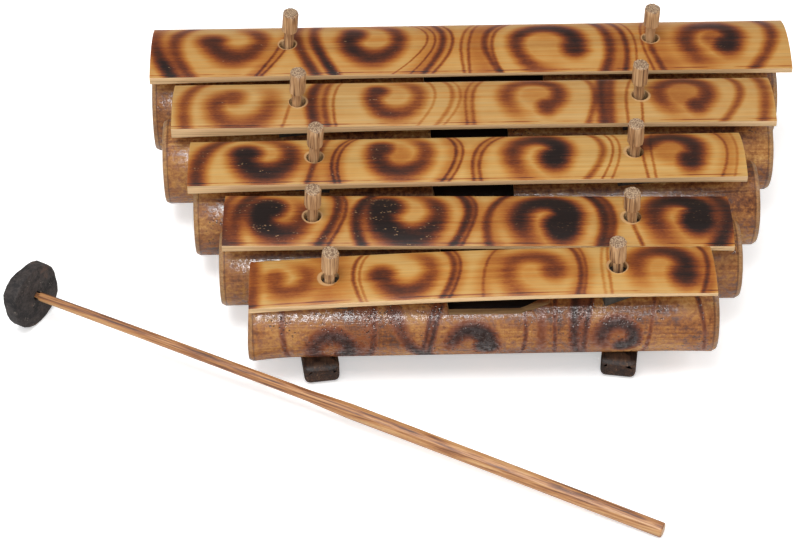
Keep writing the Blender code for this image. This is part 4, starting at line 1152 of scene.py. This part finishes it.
def handle_material():
    mat, shader, recipe = new_material("handle_bamboo", 0.55, 0.06)
    low, high = (Vector(corner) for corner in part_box("mallet_handle"))
    turned = recipe.node("ShaderNodeVectorRotate", rotation_type="Z_AXIS")
    recipe.link(object_place(recipe), turned.inputs["Vector"])
    turned.inputs["Angle"].default_value = math.atan2(high.y - low.y, high.x - low.x)
    place = turned.outputs[0]
    fibre = recipe.noise(stretched(recipe, place, (28.0, 1300.0, 1300.0)), 1.0, 4.0, 0.6)
    coarse = recipe.noise(stretched(recipe, place, (11.0, 330.0, 330.0)), 1.0, 3.0, 0.6)
    blend = recipe.math("MULTIPLY_ADD", recipe.math("SUBTRACT", coarse, 0.5), 0.9, fibre)
    colour = recipe.ramp(blend, (
        (0.28, (0.085, 0.026, 0.008)),
        (0.40, (0.28, 0.100, 0.028)),
        (0.52, (0.46, 0.205, 0.066)),
        (0.74, (0.60, 0.350, 0.150)),
    ))
    across = recipe.smooth(recipe.math("ABSOLUTE", normal_parts(recipe)["X"]), 0.78, 0.86)
    colour = recipe.mix(recipe.math("MULTIPLY", across, 0.6), colour, (0.60, 0.42, 0.26))
    recipe.link(colour, shader.inputs["Base Color"])
    recipe.link(recipe.bump(blend, 0.35, 0.0005), shader.inputs["Normal"])
    return mat


def rubber_material(name, dark, light, scuffed):
    mat, shader, recipe = new_material(name, 0.7)
    shader.inputs["Specular IOR Level"].default_value = 0.25
    place = object_place(recipe)
    grain = recipe.noise(place, 700.0, 4.0, 0.7)
    scuff = recipe.noise(place, 120.0, 4.0, 0.65)
    colour = recipe.ramp(recipe.math("MULTIPLY_ADD", recipe.math("SUBTRACT", grain, 0.5), 0.7, scuff),
                         ((0.36, dark), (0.62, light)))
    colour = recipe.mix(recipe.math("MULTIPLY", recipe.smooth(scuff, 0.56, 0.68), 0.75), colour, scuffed)
    cords = recipe.node("ShaderNodeTexVoronoi", feature="F1")
    recipe.link(stretched(recipe, place, (360.0, 900.0, 900.0)), cords.inputs["Vector"])
    cords.inputs["Scale"].default_value = 1.0
    patch = recipe.smooth(recipe.noise(stretched(recipe, place, (70.0, 260.0, 260.0)), 1.0, 2.0), 0.60, 0.66)
    dashes = recipe.math("MULTIPLY", recipe.smooth(cords.outputs["Distance"], 0.34, 0.18), patch)
    colour = recipe.mix(recipe.math("MULTIPLY", dashes, 0.5), colour, (0.36, 0.30, 0.25))
    recipe.link(colour, shader.inputs["Base Color"])
    recipe.link(recipe.bump(recipe.math("ADD", grain, scuff), 0.6, 0.0007), shader.inputs["Normal"])
    return mat


rail_finish = rail_material()
pad_finish = rubber_material("pad_rubber", (0.034, 0.028, 0.022), (0.075, 0.064, 0.050), (0.11, 0.090, 0.070))
head_finish = rubber_material("head_rubber", (0.011, 0.009, 0.009), (0.056, 0.044, 0.040), (0.115, 0.062, 0.040))
for side in ("left", "right"):
    dress(f"rail_{side}", rail_finish)
    for key in range(1, 6):
        dress(f"peg_{side}_{key}", peg_material(key if side == "left" else key + 5))
        dress(f"pad_{side}_{key}", pad_finish)
dress("mallet_handle", handle_material())
dress("mallet_head", head_finish)
print("small parts dressed")
